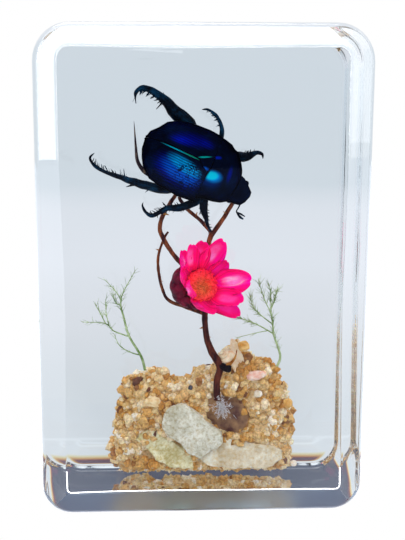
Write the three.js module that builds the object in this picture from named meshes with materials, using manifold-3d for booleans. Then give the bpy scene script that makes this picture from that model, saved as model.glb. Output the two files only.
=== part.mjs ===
/**
 * A blue scarab beetle, a pink flower and a thorny twig on a clump of sand, cast in a clear resin block.
 *
 * Millimetres, +Z up. +X runs to the right across the width and the front face looks along -Y.
 * The origin is the middle of the flat bottom that the block stands on.
 *
 * The resin is one casting in the real thing. Here it is parted in two at PARTING_Y, so that the pocket
 * round the specimens is open, and everything inside the pocket keeps GAP clear of the resin.
 */
import * as THREE from 'three';
import { mergeVertices } from 'three/addons/utils/BufferGeometryUtils.js';
import Module from 'manifold-3d';

const wasm = await Module();
wasm.setup();

// Driving dimensions, millimetres and degrees.
const BLOCK = { width: 75, height: 112.5, depth: 40, topCorner: 8.5, bottomCorner: 7 };
const RIM = { width: 6, depth: 2.6 };
const SPECIMEN_LIFT = 1.9;
const PARTING_Y = 6;
const GAP = 0.3;
const SAND = {
  x: 2.2, y: 10.4, z: 13.4, underside: -0.6, depth: 10.4, lump: 0.7, grains: 22, grainSize: 2.4,
};
const TWIG = { trunk: 0.8, branch: 0.55, loop: 0.36 };
const FLOWER = { centre: [0.7, 1, 49.9], axis: [0.458, -0.865, 0.204], disc: 4.3, petal: 0.5 };
const BEETLE = { centre: [-1.34, 2, 79.09], heading: 26, roll: 12 };
const ELYTRA = { middle: -0.1, half: [13.5, 9.1, 5], shell: 0.55, front: 3.3, hem: -1.3 };
const PRONOTUM = { middle: 2.2, half: [10.4, 9, 4.6], back: 3.65, front: 12.1 };
const SPRIG = { stem: 0.42, branch: 0.26 };
// The turn from one seed, floret or needle to the next that spreads them evenly.
const GOLDEN_ANGLE = 137.5;

const vec = (p) => new THREE.Vector3(...p);
const rad = THREE.MathUtils.degToRad;

// ---------------------------------------------------------------------------------------------------
// Closed solids: from three.js geometry to manifold and back
// ---------------------------------------------------------------------------------------------------

/** A closed three.js geometry as a manifold solid, without the triangles that have shrunk to a line. */
function solid(geometry) {
  const bare = new THREE.BufferGeometry();
  bare.setAttribute('position', geometry.getAttribute('position').clone());
  bare.setIndex(geometry.getIndex());
  const merged = mergeVertices(bare, 1e-4);
  const corners = merged.getIndex().array;
  const triangles = [];
  for (let i = 0; i < corners.length; i += 3) {
    const [a, b, c] = [corners[i], corners[i + 1], corners[i + 2]];
    if (a !== b && b !== c && c !== a) triangles.push(a, b, c);
  }
  return new wasm.Manifold(new wasm.Mesh({
    numProp: 3,
    vertProperties: new Float32Array(merged.getAttribute('position').array),
    triVerts: new Uint32Array(triangles),
  }));
}

/** The triangles of a manifold solid as a three.js geometry. */
function geometryOf(body) {
  const mesh = body.getMesh();
  const geometry = new THREE.BufferGeometry();
  geometry.setAttribute('position', new THREE.BufferAttribute(new Float32Array(mesh.vertProperties), 3));
  geometry.setIndex(new THREE.BufferAttribute(new Uint32Array(mesh.triVerts), 1));
  geometry.computeVertexNormals();
  return geometry;
}

const join = (geometries) => geometries.map(solid).reduce((whole, piece) => whole.add(piece));
const carve = (body, cutters) => cutters.reduce((rest, cutter) => rest.subtract(cutter), body);

/** A box between two corners, used to cut a solid along a plane. */
function boxSolid(low, high) {
  const size = high.map((value, i) => value - low[i]);
  const box = new THREE.BoxGeometry(...size);
  box.translate(...low.map((value, i) => value + size[i] / 2));
  return solid(box);
}

/** Moves every vertex of a geometry by a function of its position. */
function reshape(geometry, place) {
  const position = geometry.getAttribute('position');
  const point = new THREE.Vector3();
  for (let i = 0; i < position.count; i += 1) {
    point.fromBufferAttribute(position, i);
    place(point);
    position.setXYZ(i, point.x, point.y, point.z);
  }
  return geometry;
}

/** A smooth repeatable unevenness between about -1 and 1. */
function unevenness(p, seed) {
  return (Math.sin(p.x * 2.1 + seed) + Math.sin(p.y * 2.7 + seed * 2.3 + p.x)
    + Math.sin(p.z * 2.4 + seed * 3.1 + p.y)) / 3;
}

// ---------------------------------------------------------------------------------------------------
// Natural forms shared by several sub-parts
// ---------------------------------------------------------------------------------------------------

/** A round stem along a curve through the points, with its radius running through the given radii. */
function limb(points, radii, { sides = 6, steps = 10, grow = 0 } = {}) {
  const curve = new THREE.CatmullRomCurve3(points.map(vec));
  const { normals, binormals } = curve.computeFrenetFrames(steps, false);
  return reshape(new THREE.CylinderGeometry(1, 1, 1, sides, steps), (p) => {
    const along = p.y + 0.5;
    const step = Math.round(along * steps);
    const place = along * (radii.length - 1);
    const left = Math.min(Math.floor(place), radii.length - 2);
    const radius = THREE.MathUtils.lerp(radii[left], radii[left + 1], place - left) + grow;
    const { x, z } = p;
    p.copy(curve.getPointAt(step / steps));
    p.addScaledVector(normals[step], x * radius);
    p.addScaledVector(binormals[step], -z * radius);
  });
}

/** A pointed spike from its base to its tip. */
function spike(base, tip, radius, sides = 4) {
  const line = vec(tip).sub(vec(base));
  const cone = new THREE.ConeGeometry(radius, line.length(), sides);
  cone.translate(0, line.length() / 2, 0);
  cone.applyQuaternion(new THREE.Quaternion().setFromUnitVectors(
    new THREE.Vector3(0, 1, 0), line.clone().normalize()));
  cone.translate(...base);
  return cone;
}

/** A worn grain or pebble: an uneven many-sided lump. */
function pebble({ at, size, seed, detail = 0, turn = 0 }, grow = 0) {
  const lump = new THREE.IcosahedronGeometry(1, detail);
  reshape(lump, (p) => p.multiplyScalar(1 + 0.13 * unevenness(p, seed)));
  lump.scale(size[0] / 2 + grow, size[1] / 2 + grow, size[2] / 2 + grow);
  lump.rotateY(rad(turn));
  lump.translate(...at);
  return lump;
}

/** A flat stone: an outline in the XZ plane, its front face at y, with worn edges. */
function slab({ outline, y, thick, worn, seed, level = false }, grow = 0) {
  const shape = new THREE.Shape(outline.map(([x, z]) => new THREE.Vector2(x, z)));
  const stone = new THREE.ExtrudeGeometry(shape, {
    depth: thick - 2 * worn,
    bevelEnabled: worn + grow > 0,
    bevelThickness: worn + grow,
    bevelSize: grow,
    bevelOffset: 0,
    bevelSegments: 1,
    curveSegments: 1,
  });
  stone.rotateX(Math.PI / 2);
  stone.translate(0, y + thick - worn, 0);
  if (level) return stone;
  return reshape(stone, (p) => {
    p.y += 0.25 * unevenness({ x: p.x / 3, y: 0, z: p.z / 3 }, seed);
  });
}

/** A thin cupped blade from base to tip, hollow on the side that faces the given direction. */
function blade({ base, tip, width, thick, cup, curl, facing, round = 0.25 }, grow = 0) {
  const start = vec(base);
  const along = vec(tip).sub(start);
  const length = along.length();
  along.normalize();
  const inward = vec(facing);
  inward.addScaledVector(along, -inward.dot(along)).normalize();
  const side = new THREE.Vector3().crossVectors(along, inward);
  return reshape(new THREE.SphereGeometry(1, 8, 6), (p) => {
    const reach = (p.y + 1) / 2;
    const flare = 0.62 + 0.38 * Math.sin(Math.PI * Math.min(1, reach * 0.75 + round));
    const across = p.x * flare;
    const lift = cup * across * across - curl * 4 * reach * (1 - reach) + p.z * (thick / 2 + grow);
    p.copy(start);
    p.addScaledVector(along, reach * (length + 2 * grow) - grow);
    p.addScaledVector(side, across * (width / 2 + grow));
    p.addScaledVector(inward, lift);
  });
}

/** An egg-shaped body about (x, 0, 0), with its own height above and below the middle. */
function egg(x, [length, width, above], below, { around = 20, along = 12, grow = 0 } = {}) {
  const ball = new THREE.SphereGeometry(1, around, along);
  ball.rotateZ(-Math.PI / 2);
  return reshape(ball, (p) => {
    const height = p.z > 0 ? above : below;
    p.set(x + p.x * (length + grow), p.y * (width + grow), p.z * (height + grow));
  });
}

// ---------------------------------------------------------------------------------------------------
// Sub-parts
// ---------------------------------------------------------------------------------------------------

const part = new THREE.Group();
const finish = (color, roughness, metalness = 0) => (
  new THREE.MeshStandardMaterial({ color, roughness, metalness, flatShading: true }));

/** Adds one named sub-part to a group. */
function place(group, name, shape, material) {
  const geometry = shape.isBufferGeometry ? shape : geometryOf(shape);
  const mesh = new THREE.Mesh(geometry, material);
  mesh.name = name;
  group.add(mesh);
  return mesh;
}

// The twig: a trunk out of the sand, forking behind the flower, its arms reaching up under the beetle.
const bark = finish('#6b2f2b', 0.6);
const FORK = [1.5, 11.8, 50.4];
const CROTCH = [3.4, 7.6, 62.3];
const twigRoutes = {
  twig_trunk: {
    points: [[4.5, 5, 19.6], [4.5, 5, 24.8], [5.3, 5, 28.3], [3.2, 5.5, 32], [2, 6, 35.2], [1.5, 6.3, 38.8],
      [1.5, 7, 41.8], [2.1, 9.2, 45.4], [1.8, 11.2, 48.6], FORK],
    radii: [TWIG.trunk, TWIG.trunk, TWIG.trunk * 1.25, TWIG.trunk, 0.7, 0.66],
    steps: 18,
  },
  twig_left_loop: {
    points: [[0.35, 7.1, 42.1], [-3.5, 8.8, 43.1], [-6.8, 10, 44.1], [-8.5, 10, 45.7], [-9.8, 10, 49.8],
      [-10.3, 10, 54.4], [-9.8, 10, 57.5], [-8.7, 11, 60.4], [-7.7, 11.2, 62]],
    radii: [TWIG.loop * 1.3, TWIG.loop * 1.2, TWIG.loop, TWIG.loop, TWIG.loop * 0.8],
    steps: 16,
    sides: 5,
  },
  twig_left_branch: {
    points: [[0.1, 12, 50.7], [-2.2, 11.2, 52], [-4.8, 9.6, 54.5], [-7.3, 8.7, 57.7], [-9, 8.5, 60.7],
      [-9.8, 8.6, 63.2], [-9, 9, 66.4], [-7.3, 9.4, 69.2], [-5.8, 9.6, 71.4]],
    radii: [0.6, TWIG.branch, TWIG.branch, TWIG.branch, 0.48],
    steps: 14,
  },
  twig_right_stem: {
    points: [[1.75, 11.6, 51.7], [2, 10.4, 54.4], [2.3, 8.8, 58.6], [3.1, 7.8, 61.2]],
    radii: [0.62, 0.6, 0.62],
    steps: 6,
  },
  twig_right_arm: {
    points: [CROTCH, [5.7, 8, 65.2], [7.7, 8.6, 68.4], [8.9, 8.8, 70.2]],
    radii: [0.62, 0.55, 0.55, 0.5],
    steps: 6,
  },
  twig_cross_arm: {
    points: [[2.2, 8.1, 63.2], [0.2, 8.6, 65.2], [-2.8, 9.2, 67.7], [-4.5, 9.9, 69.9], [-4.9, 10.4, 70.9]],
    radii: [0.5, 0.48, 0.46, 0.42],
    steps: 7,
  },
};
const thorns = {
  twig_trunk: [
    [[5.6, 4.6, 28.5], [6.9, 3.5, 28.3], 0.75, 6],
    [[5.6, 4.5, 29.1], [7.7, 3.5, 30.3], 0.42, 4],
    [[7.4, 3.6, 30], [8.2, 3.2, 32.6], 0.4, 4],
    [[1.5, 6.2, 38.2], [0, 6, 37.9], 0.5, 4],
    [[1.6, 6.3, 36.2], [2.9, 5.6, 35.7], 0.35, 4],
  ],
  twig_left_loop: [
    [[-9.9, 10, 57.4], [-10.9, 9.6, 57.9], 0.28, 4],
    [[-9.8, 10, 49.8], [-9, 9.6, 49.5], 0.25, 4],
    [[-5.6, 9.6, 43.7], [-5.2, 9.2, 42.9], 0.25, 4],
  ],
  twig_left_branch: [
    [[-8.9, 8.9, 66.6], [-7.4, 8.6, 66.5], 0.42, 4],
    [[-9.1, 8.5, 61], [-9.9, 8.2, 61.6], 0.35, 4],
  ],
  twig_right_stem: [[[2.2, 9.2, 57.8], [3.4, 8.6, 58.1], 0.38, 4]],
  twig_right_arm: [[[6.7, 8.2, 66.8], [5.9, 7.6, 67.4], 0.36, 4]],
  twig_cross_arm: [[[-0.8, 8.8, 66.1], [-0.5, 8.3, 67.1], 0.34, 4]],
};
const twig = new THREE.Group();
for (const [name, { points, radii, steps, sides }] of Object.entries(twigRoutes)) {
  const pieces = [limb(points, radii, { steps, sides })];
  pieces.push(...thorns[name].map((thorn) => spike(...thorn)));
  place(twig, name, join(pieces), bark);
}

// The stones in front of the sand, and the pebbles and shell set into it.
const paleStone = finish('#b9c0ae', 0.45);
const slabs = {
  slab_centre: {
    outline: [[-9.7, 15.2], [-7.9, 18.2], [-4.6, 19.4], [-2.9, 18.6], [0.6, 16.1], [5.4, 11.3], [5.7, 8.2],
      [2.8, 6.8], [0.4, 4.4], [-3.4, 6.2], [-5, 8.6], [-8.6, 11.5]],
    y: 2.1, thick: 2.2, worn: 0.5, seed: 1,
  },
  slab_left: {
    outline: [[-16.6, 9.4], [-14.5, 11.3], [-12.6, 12.3], [-9.9, 10.9], [-7.4, 9.6], [-4.4, 7.4],
      [-1.9, 5.6], [-1.4, 1], [-3.8, 1.1], [-7.4, 2], [-10.4, 3.2], [-12.2, 5.4]],
    y: 4.8, thick: 1.9, worn: 0.5, seed: 2,
  },
  slab_right: {
    outline: [[-0.6, 3.6], [2.4, 6.2], [6.8, 10], [11.9, 9.1], [14.5, 8], [18.1, 7.4], [21.4, 6.2],
      [22.2, 3.8], [19.4, 1.8], [16.4, 1.1], [9.2, 1], [3.4, 1.5]],
    y: 4.8, thick: 2.1, worn: 0.6, seed: 3,
  },
};
const smoky = { at: [7.2, 7.5, 16.1], size: [12, 4.6, 10.8], seed: 7, detail: 1 };
const pebbles = {
  pebble_orange: [{ at: [11.3, 6.6, 33.3], size: [3, 2.2, 2.6], seed: 1 }, '#d9a03e'],
  pebble_pink: [{ at: [14.5, 5.6, 25.9], size: [4.6, 2.4, 1.9], seed: 2, turn: -8, detail: 1 }, '#f0b9a4'],
  pebble_white: [{ at: [14.9, 4.6, 21.2], size: [2.2, 1.8, 2], seed: 3 }, '#efe9df'],
  pebble_yellow: [{ at: [22.8, 6.2, 18.3], size: [2.4, 2.2, 2.5], seed: 4 }, '#e8ba55'],
  pebble_cream: [{ at: [-12, 4.8, 19.2], size: [4, 2.6, 3], seed: 5, detail: 1 }, '#edd09a'],
  pebble_dark: [{ at: [-2.2, 5, 22.9], size: [1.2, 1.2, 1.1], seed: 6 }, '#4a4a50'],
  pebble_brown: [{ at: [-0.1, 5, 24.5], size: [1.9, 1.6, 2.3], seed: 7 }, '#9a683a'],
  pebble_bead: [{ at: [24.6, 7.2, 1.9], size: [1.8, 1.8, 1.8], seed: 8 }, '#dccbb2'],
};
const stones = new THREE.Group();
for (const [name, form] of Object.entries(slabs)) place(stones, name, slab(form), paleStone);
for (const [name, [form, colour]] of Object.entries(pebbles)) {
  place(stones, name, pebble(form), finish(colour, 0.5));
}

/** A small turban shell: whorls stepping up to a point, its spire leaning to the upper left. */
function snailShell(grow = 0) {
  const whorls = [[0, -2.3], [1.9, -1.9], [2.4, -0.9], [2.1, 0], [1.7, 0.2], [1.6, 0.9], [1.05, 1.3],
    [0.9, 1.9], [0, 2.6]];
  const profile = whorls.map(([r, h]) => new THREE.Vector2(r ? r + grow : 0, h + Math.sign(h) * grow));
  const shell = new THREE.LatheGeometry(profile, 12);
  shell.scale(1, 1, 0.8);
  shell.rotateY(rad(20));
  shell.rotateX(rad(28));
  shell.rotateX(Math.PI / 2);
  shell.rotateY(rad(-48));
  shell.translate(7.7, 6.2, 31.4);
  return shell;
}
place(stones, 'snail_shell', solid(snailShell()), finish('#efd9ae', 0.45));
const shellFlake = {
  base: [9.9, 9, 29.8], tip: [8.5, 8.6, 35.6], width: 2.6, thick: 0.5, cup: 0.5, curl: 0.2,
  facing: [0.2, -1, 0],
};
place(stones, 'shell_flake', blade(shellFlake), finish('#f2e7d2', 0.4));

// A tuft of white needle crystals grown on the smoky stone.
const TUFT = { at: [5.7, 3.5, 17.9], needles: 12, reach: 2.6 };
const tuft = [pebble({ at: TUFT.at, size: [2.6, 1.4, 3], seed: 4 })];
for (let i = 0; i < TUFT.needles; i += 1) {
  const turn = rad(i * GOLDEN_ANGLE);
  const reach = TUFT.reach * (0.75 + 0.25 * Math.sin(i * 5.1));
  const tip = [TUFT.at[0] + 0.85 * reach * Math.cos(turn), TUFT.at[1] - 0.5 - 0.4 * Math.sin(i * 1.7),
    TUFT.at[2] + 1.1 * reach * Math.sin(turn)];
  tuft.push(spike(TUFT.at, tip, 0.3, 3));
}
place(stones, 'crystal_tuft', join(tuft), finish('#efe9ee', 0.3));

const trunkSocket = solid(limb(twigRoutes.twig_trunk.points, twigRoutes.twig_trunk.radii,
  { steps: 18, grow: GAP }));
const smokyStone = carve(solid(pebble(smoky)), [trunkSocket]);
place(stones, 'smoky_stone', smokyStone, finish('#9c7b6a', 0.3));

// The sand: one glued clump, wider than high, with coarse grains standing out of it.
const sandOutline = [[25.2, -0.6], [25, 8.6], [24.8, 17.1], [24.2, 21.4], [21, 25.4], [19, 30],
  [15.2, 29.6], [12.8, 33.2], [9.6, 34.2], [6.4, 31.2], [3.2, 27.9], [-0.8, 27.8], [-2.2, 26.2],
  [-6.8, 25.9], [-10.5, 27.4], [-13.4, 27.2], [-18.8, 25.6], [-20.2, 20.6], [-22, 16], [-21.8, 10.8],
  [-24.2, 8.2], [-22.4, 3.4], [-20.4, -0.6], [0, -0.6]];
const grainSpots = Array.from({ length: SAND.grains }, (_, i) => {
  const turn = rad(i * GOLDEN_ANGLE);
  const out = 0.35 + 0.6 * Math.sqrt((i + 0.5) / SAND.grains);
  return { turn, out, front: i % 4 !== 3 };
});

/** How far the clump reaches from its middle in the direction of a turn in the XZ plane. */
function sandReach(turn) {
  const ray = new THREE.Vector2(Math.cos(turn), Math.sin(turn));
  let reach = 0;
  sandOutline.forEach(([x, z], i) => {
    const [nextX, nextZ] = sandOutline[(i + 1) % sandOutline.length];
    const from = new THREE.Vector2(x - SAND.x, z - SAND.z);
    const edge = new THREE.Vector2(nextX - x, nextZ - z);
    const across = ray.cross(edge);
    if (Math.abs(across) < 1e-9) return;
    const distance = from.cross(edge) / across;
    const share = from.cross(ray) / across;
    if (distance > 0 && share >= 0 && share <= 1) reach = Math.max(reach, distance);
  });
  return reach;
}
const sandBody = reshape(new THREE.SphereGeometry(1, 30, 10), (p) => {
  const turn = Math.atan2(p.z, p.x);
  const ring = Math.hypot(p.x, p.z);
  const reach = ring < 1e-6 ? 0 : (sandReach(turn) - 0.4) * ring ** 0.55;
  const depth = (SAND.depth / 2) * Math.sign(p.y) * Math.abs(p.y) ** 0.8;
  p.set(SAND.x + reach * Math.cos(turn), SAND.y + depth, SAND.z + reach * Math.sin(turn));
  const lump = SAND.lump * unevenness({ x: p.x * 0.8, y: p.y, z: p.z * 0.8 }, 5);
  p.y += lump;
  p.z = Math.max(SAND.underside, p.z + (p.z > 3 ? 0.5 * lump : 0));
});
const sandPieces = [sandBody];
grainSpots.forEach(({ turn, out, front }, i) => {
  const reach = sandReach(turn) * out;
  const at = [SAND.x + reach * Math.cos(turn), SAND.y + (front ? -1 : 1) * 0.42 * SAND.depth * (1.1 - out),
    SAND.z + reach * Math.sin(turn)];
  if (at[2] < SAND.grainSize) return;
  const size = SAND.grainSize * (1 + 0.35 * Math.sin(i * 3.7));
  sandPieces.push(pebble({ at, size: [size, size, size * 0.9], seed: i }));
});
const sprigRoutes = {
  sprig_left: [
    { points: [[-13.7, 9, 26.9], [-14.7, 9, 30.3], [-17.7, 9, 35.6], [-19, 9, 40.5], [-19.7, 9, 43.6],
      [-19.2, 9, 46.5], [-16.1, 9, 52.3]],
    radii: [SPRIG.stem, 0.4, 0.34, 0.28, 0.12], steps: 9 },
    { points: [[-19.6, 9, 44.4], [-20.5, 9, 46.5], [-23.3, 9, 49.8]],
      radii: [SPRIG.branch, 0.1], steps: 3 },
    { points: [[-19.6, 9, 43.4], [-20.9, 9, 44.2], [-21.6, 9, 46]],
      radii: [SPRIG.branch, 0.12], steps: 3 },
    { points: [[-17.6, 9, 35.4], [-21.5, 9, 36.9], [-23.7, 9, 38.9], [-29.6, 9, 39.3]],
      radii: [SPRIG.branch, 0.28, 0.1], steps: 4 },
    { points: [[-23.5, 9, 38.7], [-24.6, 8.8, 41], [-25.8, 8.6, 43.4]], radii: [0.22, 0.1], steps: 2 },
    { points: [[-22.6, 9, 38], [-23.4, 9.2, 41.4], [-23.5, 9.4, 45]], radii: [0.22, 0.1], steps: 2 },
    { points: [[-14.9, 9, 30.6], [-17, 9, 31.2], [-20, 9, 33], [-21.5, 9, 36.2]],
      radii: [SPRIG.branch, 0.12], steps: 4 },
  ],
  sprig_right: [
    { points: [[18.3, 9, 24.2], [20.4, 9, 27.9], [20.9, 9, 30], [20.3, 9, 32.4], [19.2, 9, 35.6],
      [18.8, 9, 39], [18.4, 9, 41.5], [18.3, 9, 45.3], [17.8, 9, 48.8]],
    radii: [SPRIG.stem, 0.4, 0.34, 0.28, 0.1], steps: 10 },
    { points: [[19.2, 9, 35.8], [15.1, 9, 38.2], [12.4, 9, 39.3], [10.6, 9, 40]],
      radii: [SPRIG.branch, 0.28, 0.1], steps: 4 },
    { points: [[17.6, 9, 36.7], [14.3, 8.8, 36.1], [9.5, 8.6, 35]], radii: [0.24, 0.09], steps: 3 },
    { points: [[18.8, 9, 38.4], [16.2, 9.2, 40.4], [14, 9.2, 42.6], [13, 9.2, 45.7]],
      radii: [SPRIG.branch, 0.24, 0.1], steps: 4 },
    { points: [[18.4, 9, 41.2], [16.6, 8.8, 45], [15.2, 8.6, 49.2]], radii: [0.24, 0.1], steps: 3 },
    { points: [[18.4, 9, 42.4], [19.3, 9.2, 44.6], [19.8, 9.4, 47]], radii: [0.22, 0.1], steps: 2 },
  ],
};
const sprigSolid = (routes, grow = 0) => join(
  routes.map(({ points, radii, steps }) => limb(points, radii, { steps, sides: 3, grow })));
const sprigs = new THREE.Group();
for (const [name, routes] of Object.entries(sprigRoutes)) {
  place(sprigs, name, sprigSolid(routes), finish('#7f9a62', 0.7));
}
const sandSockets = [
  trunkSocket,
  ...Object.values(slabs).map((form) => solid(slab(form, GAP))),
  ...Object.values(pebbles).map(([form]) => solid(pebble(form, GAP))),
  solid(pebble(smoky, GAP)),
  solid(snailShell(GAP)),
  solid(blade(shellFlake, GAP)),
  ...Object.values(sprigRoutes).map(([stem]) => (
    solid(limb(stem.points, stem.radii, { steps: stem.steps, sides: 4, grow: 2 * GAP })))),
];
place(stones, 'sand_base', carve(join(sandPieces), sandSockets), finish('#c9a15f', 0.9));

// The flower: a domed disc of florets, a cup of bracts behind it and one ring of cupped petals.
const flower = new THREE.Group();
const axis = vec(FLOWER.axis).normalize();
const rightward = new THREE.Vector3(1, 0, 0).addScaledVector(axis, -axis.x).normalize();
const upward = new THREE.Vector3().crossVectors(axis, rightward);

/** A point of the flower: so far along its axis in front of the disc, and out from it at an angle. */
function flowerPoint(ahead, out, degrees) {
  return vec(FLOWER.centre).addScaledVector(axis, ahead)
    .addScaledVector(rightward, out * Math.cos(rad(degrees)))
    .addScaledVector(upward, out * Math.sin(rad(degrees)));
}

/** Turns a shape made round +Y onto the flower's axis. */
function ontoFlower(geometry) {
  geometry.applyMatrix4(new THREE.Matrix4().makeBasis(rightward, axis, upward.clone().negate()));
  geometry.translate(...FLOWER.centre);
  return geometry;
}
const discDome = ontoFlower(reshape(new THREE.SphereGeometry(1, 12, 6), (p) => {
  p.set(p.x * (FLOWER.disc - 0.4), p.y > 0 ? p.y * 1.5 - 0.9 : p.y * 0.8 - 0.9, p.z * (FLOWER.disc - 0.4));
}));
const FLORETS = 18;
const florets = [];
for (let i = 0; i < FLORETS; i += 1) {
  const out = 0.6 + 3 * Math.sqrt(i / FLORETS);
  const turn = i * GOLDEN_ANGLE;
  const base = flowerPoint(-0.6 - 0.05 * out * out, out, turn);
  const tip = flowerPoint(1 - 0.04 * out * out, out * 0.72, turn + 16);
  florets.push(spike(base.toArray(), tip.toArray(), 0.6, 3));
}
place(flower, 'flower_disc', join([discDome, ...florets]), finish('#c9302a', 0.75));
const BRACTS = 9;
const cupProfile = [[0, -10], [2.2, -9.6], [4.2, -8.3], [5, -6.4], [5.2, -4.2], [4.9, -2.6], [3.4, -2.2],
  [0, -2.2]];
const cup = new THREE.LatheGeometry(cupProfile.map((p) => new THREE.Vector2(...p)), 2 * BRACTS);
reshape(cup, (p) => {
  const ridge = 1 + 0.05 * Math.cos(BRACTS * Math.atan2(p.z, p.x));
  p.x *= ridge;
  p.z *= ridge;
});
place(flower, 'flower_calyx', carve(solid(ontoFlower(cup)), [trunkSocket]), finish('#6d1234', 0.7));

const petalForms = {
  petal_top: { turn: 72, tip: [4.9, -4, 61.6], width: 6.6 },
  petal_back_top: { turn: 96, tip: [0.2, -1.4, 60.9], width: 5.6 },
  petal_left_top: { turn: 122, tip: [-3.2, -4.8, 60.3], width: 5.4 },
  petal_left_back: { turn: 145, tip: [-5.4, -2.2, 57.8], width: 5 },
  petal_left: { turn: 172, tip: [-5.6, -6.2, 52.8], width: 6 },
  petal_left_low: { turn: 208, tip: [-3.4, -8, 48.6], width: 5.2 },
  petal_bottom: { turn: 246, tip: [1, -7, 43.4], width: 6.6 },
  petal_lower: { turn: 296, tip: [9.6, -1.6, 42.6], width: 5.4 },
  petal_lower_right: { turn: 322, tip: [10.4, -4.6, 45.8], width: 5.8 },
  petal_right: { turn: 3, tip: [12.2, -4.2, 52], width: 7 },
  petal_behind_right: { turn: 38, tip: [6.8, 1.4, 55.9], width: 5.2 },
};
const petalPink = finish('#ef1c86', 0.55);
const petalSolids = [];
for (const [name, { turn, tip, width }] of Object.entries(petalForms)) {
  const base = flowerPoint(-1.4, FLOWER.disc + 0.5, turn).toArray();
  const form = { base, tip, width, thick: FLOWER.petal, cup: 0.9, curl: 0.7, facing: FLOWER.axis };
  const blank = solid(blade(form));
  const clear = carve(blank, petalSolids);
  place(flower, name, clear, petalPink);
  petalSolids.push(solid(blade(form, GAP)));
}

// The beetle in its own frame: +X to the head, +Y to its left, +Z out of its back.
const beetle = new THREE.Group();
const forward = new THREE.Vector3(Math.cos(rad(BEETLE.heading)), 0, -Math.sin(rad(BEETLE.heading)));
const uphill = new THREE.Vector3(Math.sin(rad(BEETLE.heading)), 0, Math.cos(rad(BEETLE.heading)));
const back = uphill.multiplyScalar(Math.sin(rad(BEETLE.roll)));
back.y = -Math.cos(rad(BEETLE.roll));
const leftward = new THREE.Vector3().crossVectors(back, forward);
beetle.applyMatrix4(new THREE.Matrix4().makeBasis(forward, leftward, back));
beetle.position.set(...BEETLE.centre);
beetle.updateMatrix();
const inPart = (geometry) => geometry.applyMatrix4(beetle.matrix);

const navyShell = finish('#0d1f6e', 0.25, 0.8);
const navyBelly = finish('#0b1530', 0.35, 0.4);
const FAR = 40;
const trunkBody = (grow) => egg(ELYTRA.middle, ELYTRA.half.map((half) => half - ELYTRA.shell - GAP), 4.4,
  { around: 14, along: 9, grow });
const scutellum = ({ grow = 0 } = {}) => {
  const shape = new THREE.Shape();
  shape.moveTo(-0.2 - 1.6 * grow, 0);
  shape.quadraticCurveTo(2, -0.9 - grow, 3.1 + grow, -2.1 - grow);
  shape.lineTo(3.1 + grow, 2.1 + grow);
  shape.quadraticCurveTo(2, 0.9 + grow, -0.2 - 1.6 * grow, 0);
  const plate = new THREE.ExtrudeGeometry(shape, {
    depth: 0.62 + grow, bevelThickness: 0.12, bevelSize: 0.05, bevelSegments: 1, curveSegments: 3,
  });
  plate.translate(0, 0, 4.25 - grow);
  return plate;
};
place(beetle, 'beetle_underbody', solid(trunkBody(0)).intersect(
  boxSolid([-FAR, -FAR, -FAR], [ELYTRA.front, FAR, FAR])), navyBelly);
const elytraShell = carve(solid(egg(ELYTRA.middle, ELYTRA.half, 4.6)), [solid(trunkBody(GAP))])
  .intersect(boxSolid([-FAR, -FAR, ELYTRA.hem], [ELYTRA.front, FAR, FAR]))
  .subtract(solid(scutellum({ grow: GAP })));
for (const [name, side] of [['elytron_left', 1], ['elytron_right', -1]]) {
  const low = side > 0 ? GAP / 2 : -FAR;
  const high = side > 0 ? FAR : -GAP / 2;
  place(beetle, name, elytraShell.intersect(boxSolid([-FAR, low, -FAR], [FAR, high, FAR])), navyShell);
}
place(beetle, 'beetle_scutellum', solid(scutellum()), navyShell);
const prothorax = (grow) => solid(egg(PRONOTUM.middle, PRONOTUM.half, 3.9, { grow })).intersect(
  boxSolid([PRONOTUM.back - grow, -FAR, -FAR], [PRONOTUM.front + grow, FAR, FAR]));
place(beetle, 'beetle_pronotum', prothorax(0), navyShell);
const skull = egg(0, [3.1, 3, 1.9], 1.9, { around: 10, along: 6 });
reshape(skull, (p) => {
  p.x = p.x > 0 ? p.x * 0.9 : p.x;
  p.y *= 1 + 0.1 * Math.sign(p.x) * Math.min(1, Math.abs(p.x));
});
const eyes = [2.7, -2.7].map((y) => {
  const eye = new THREE.SphereGeometry(0.85, 5, 4);
  eye.translate(0.4, y, 0);
  return eye;
});
const headSolid = geometryOf(join([skull, ...eyes]));
headSolid.rotateZ(rad(-20));
headSolid.translate(12.5, -1.2, -0.3);
place(beetle, 'beetle_head', solid(headSolid).subtract(prothorax(GAP)), navyBelly);
part.updateMatrixWorld(true);

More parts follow.
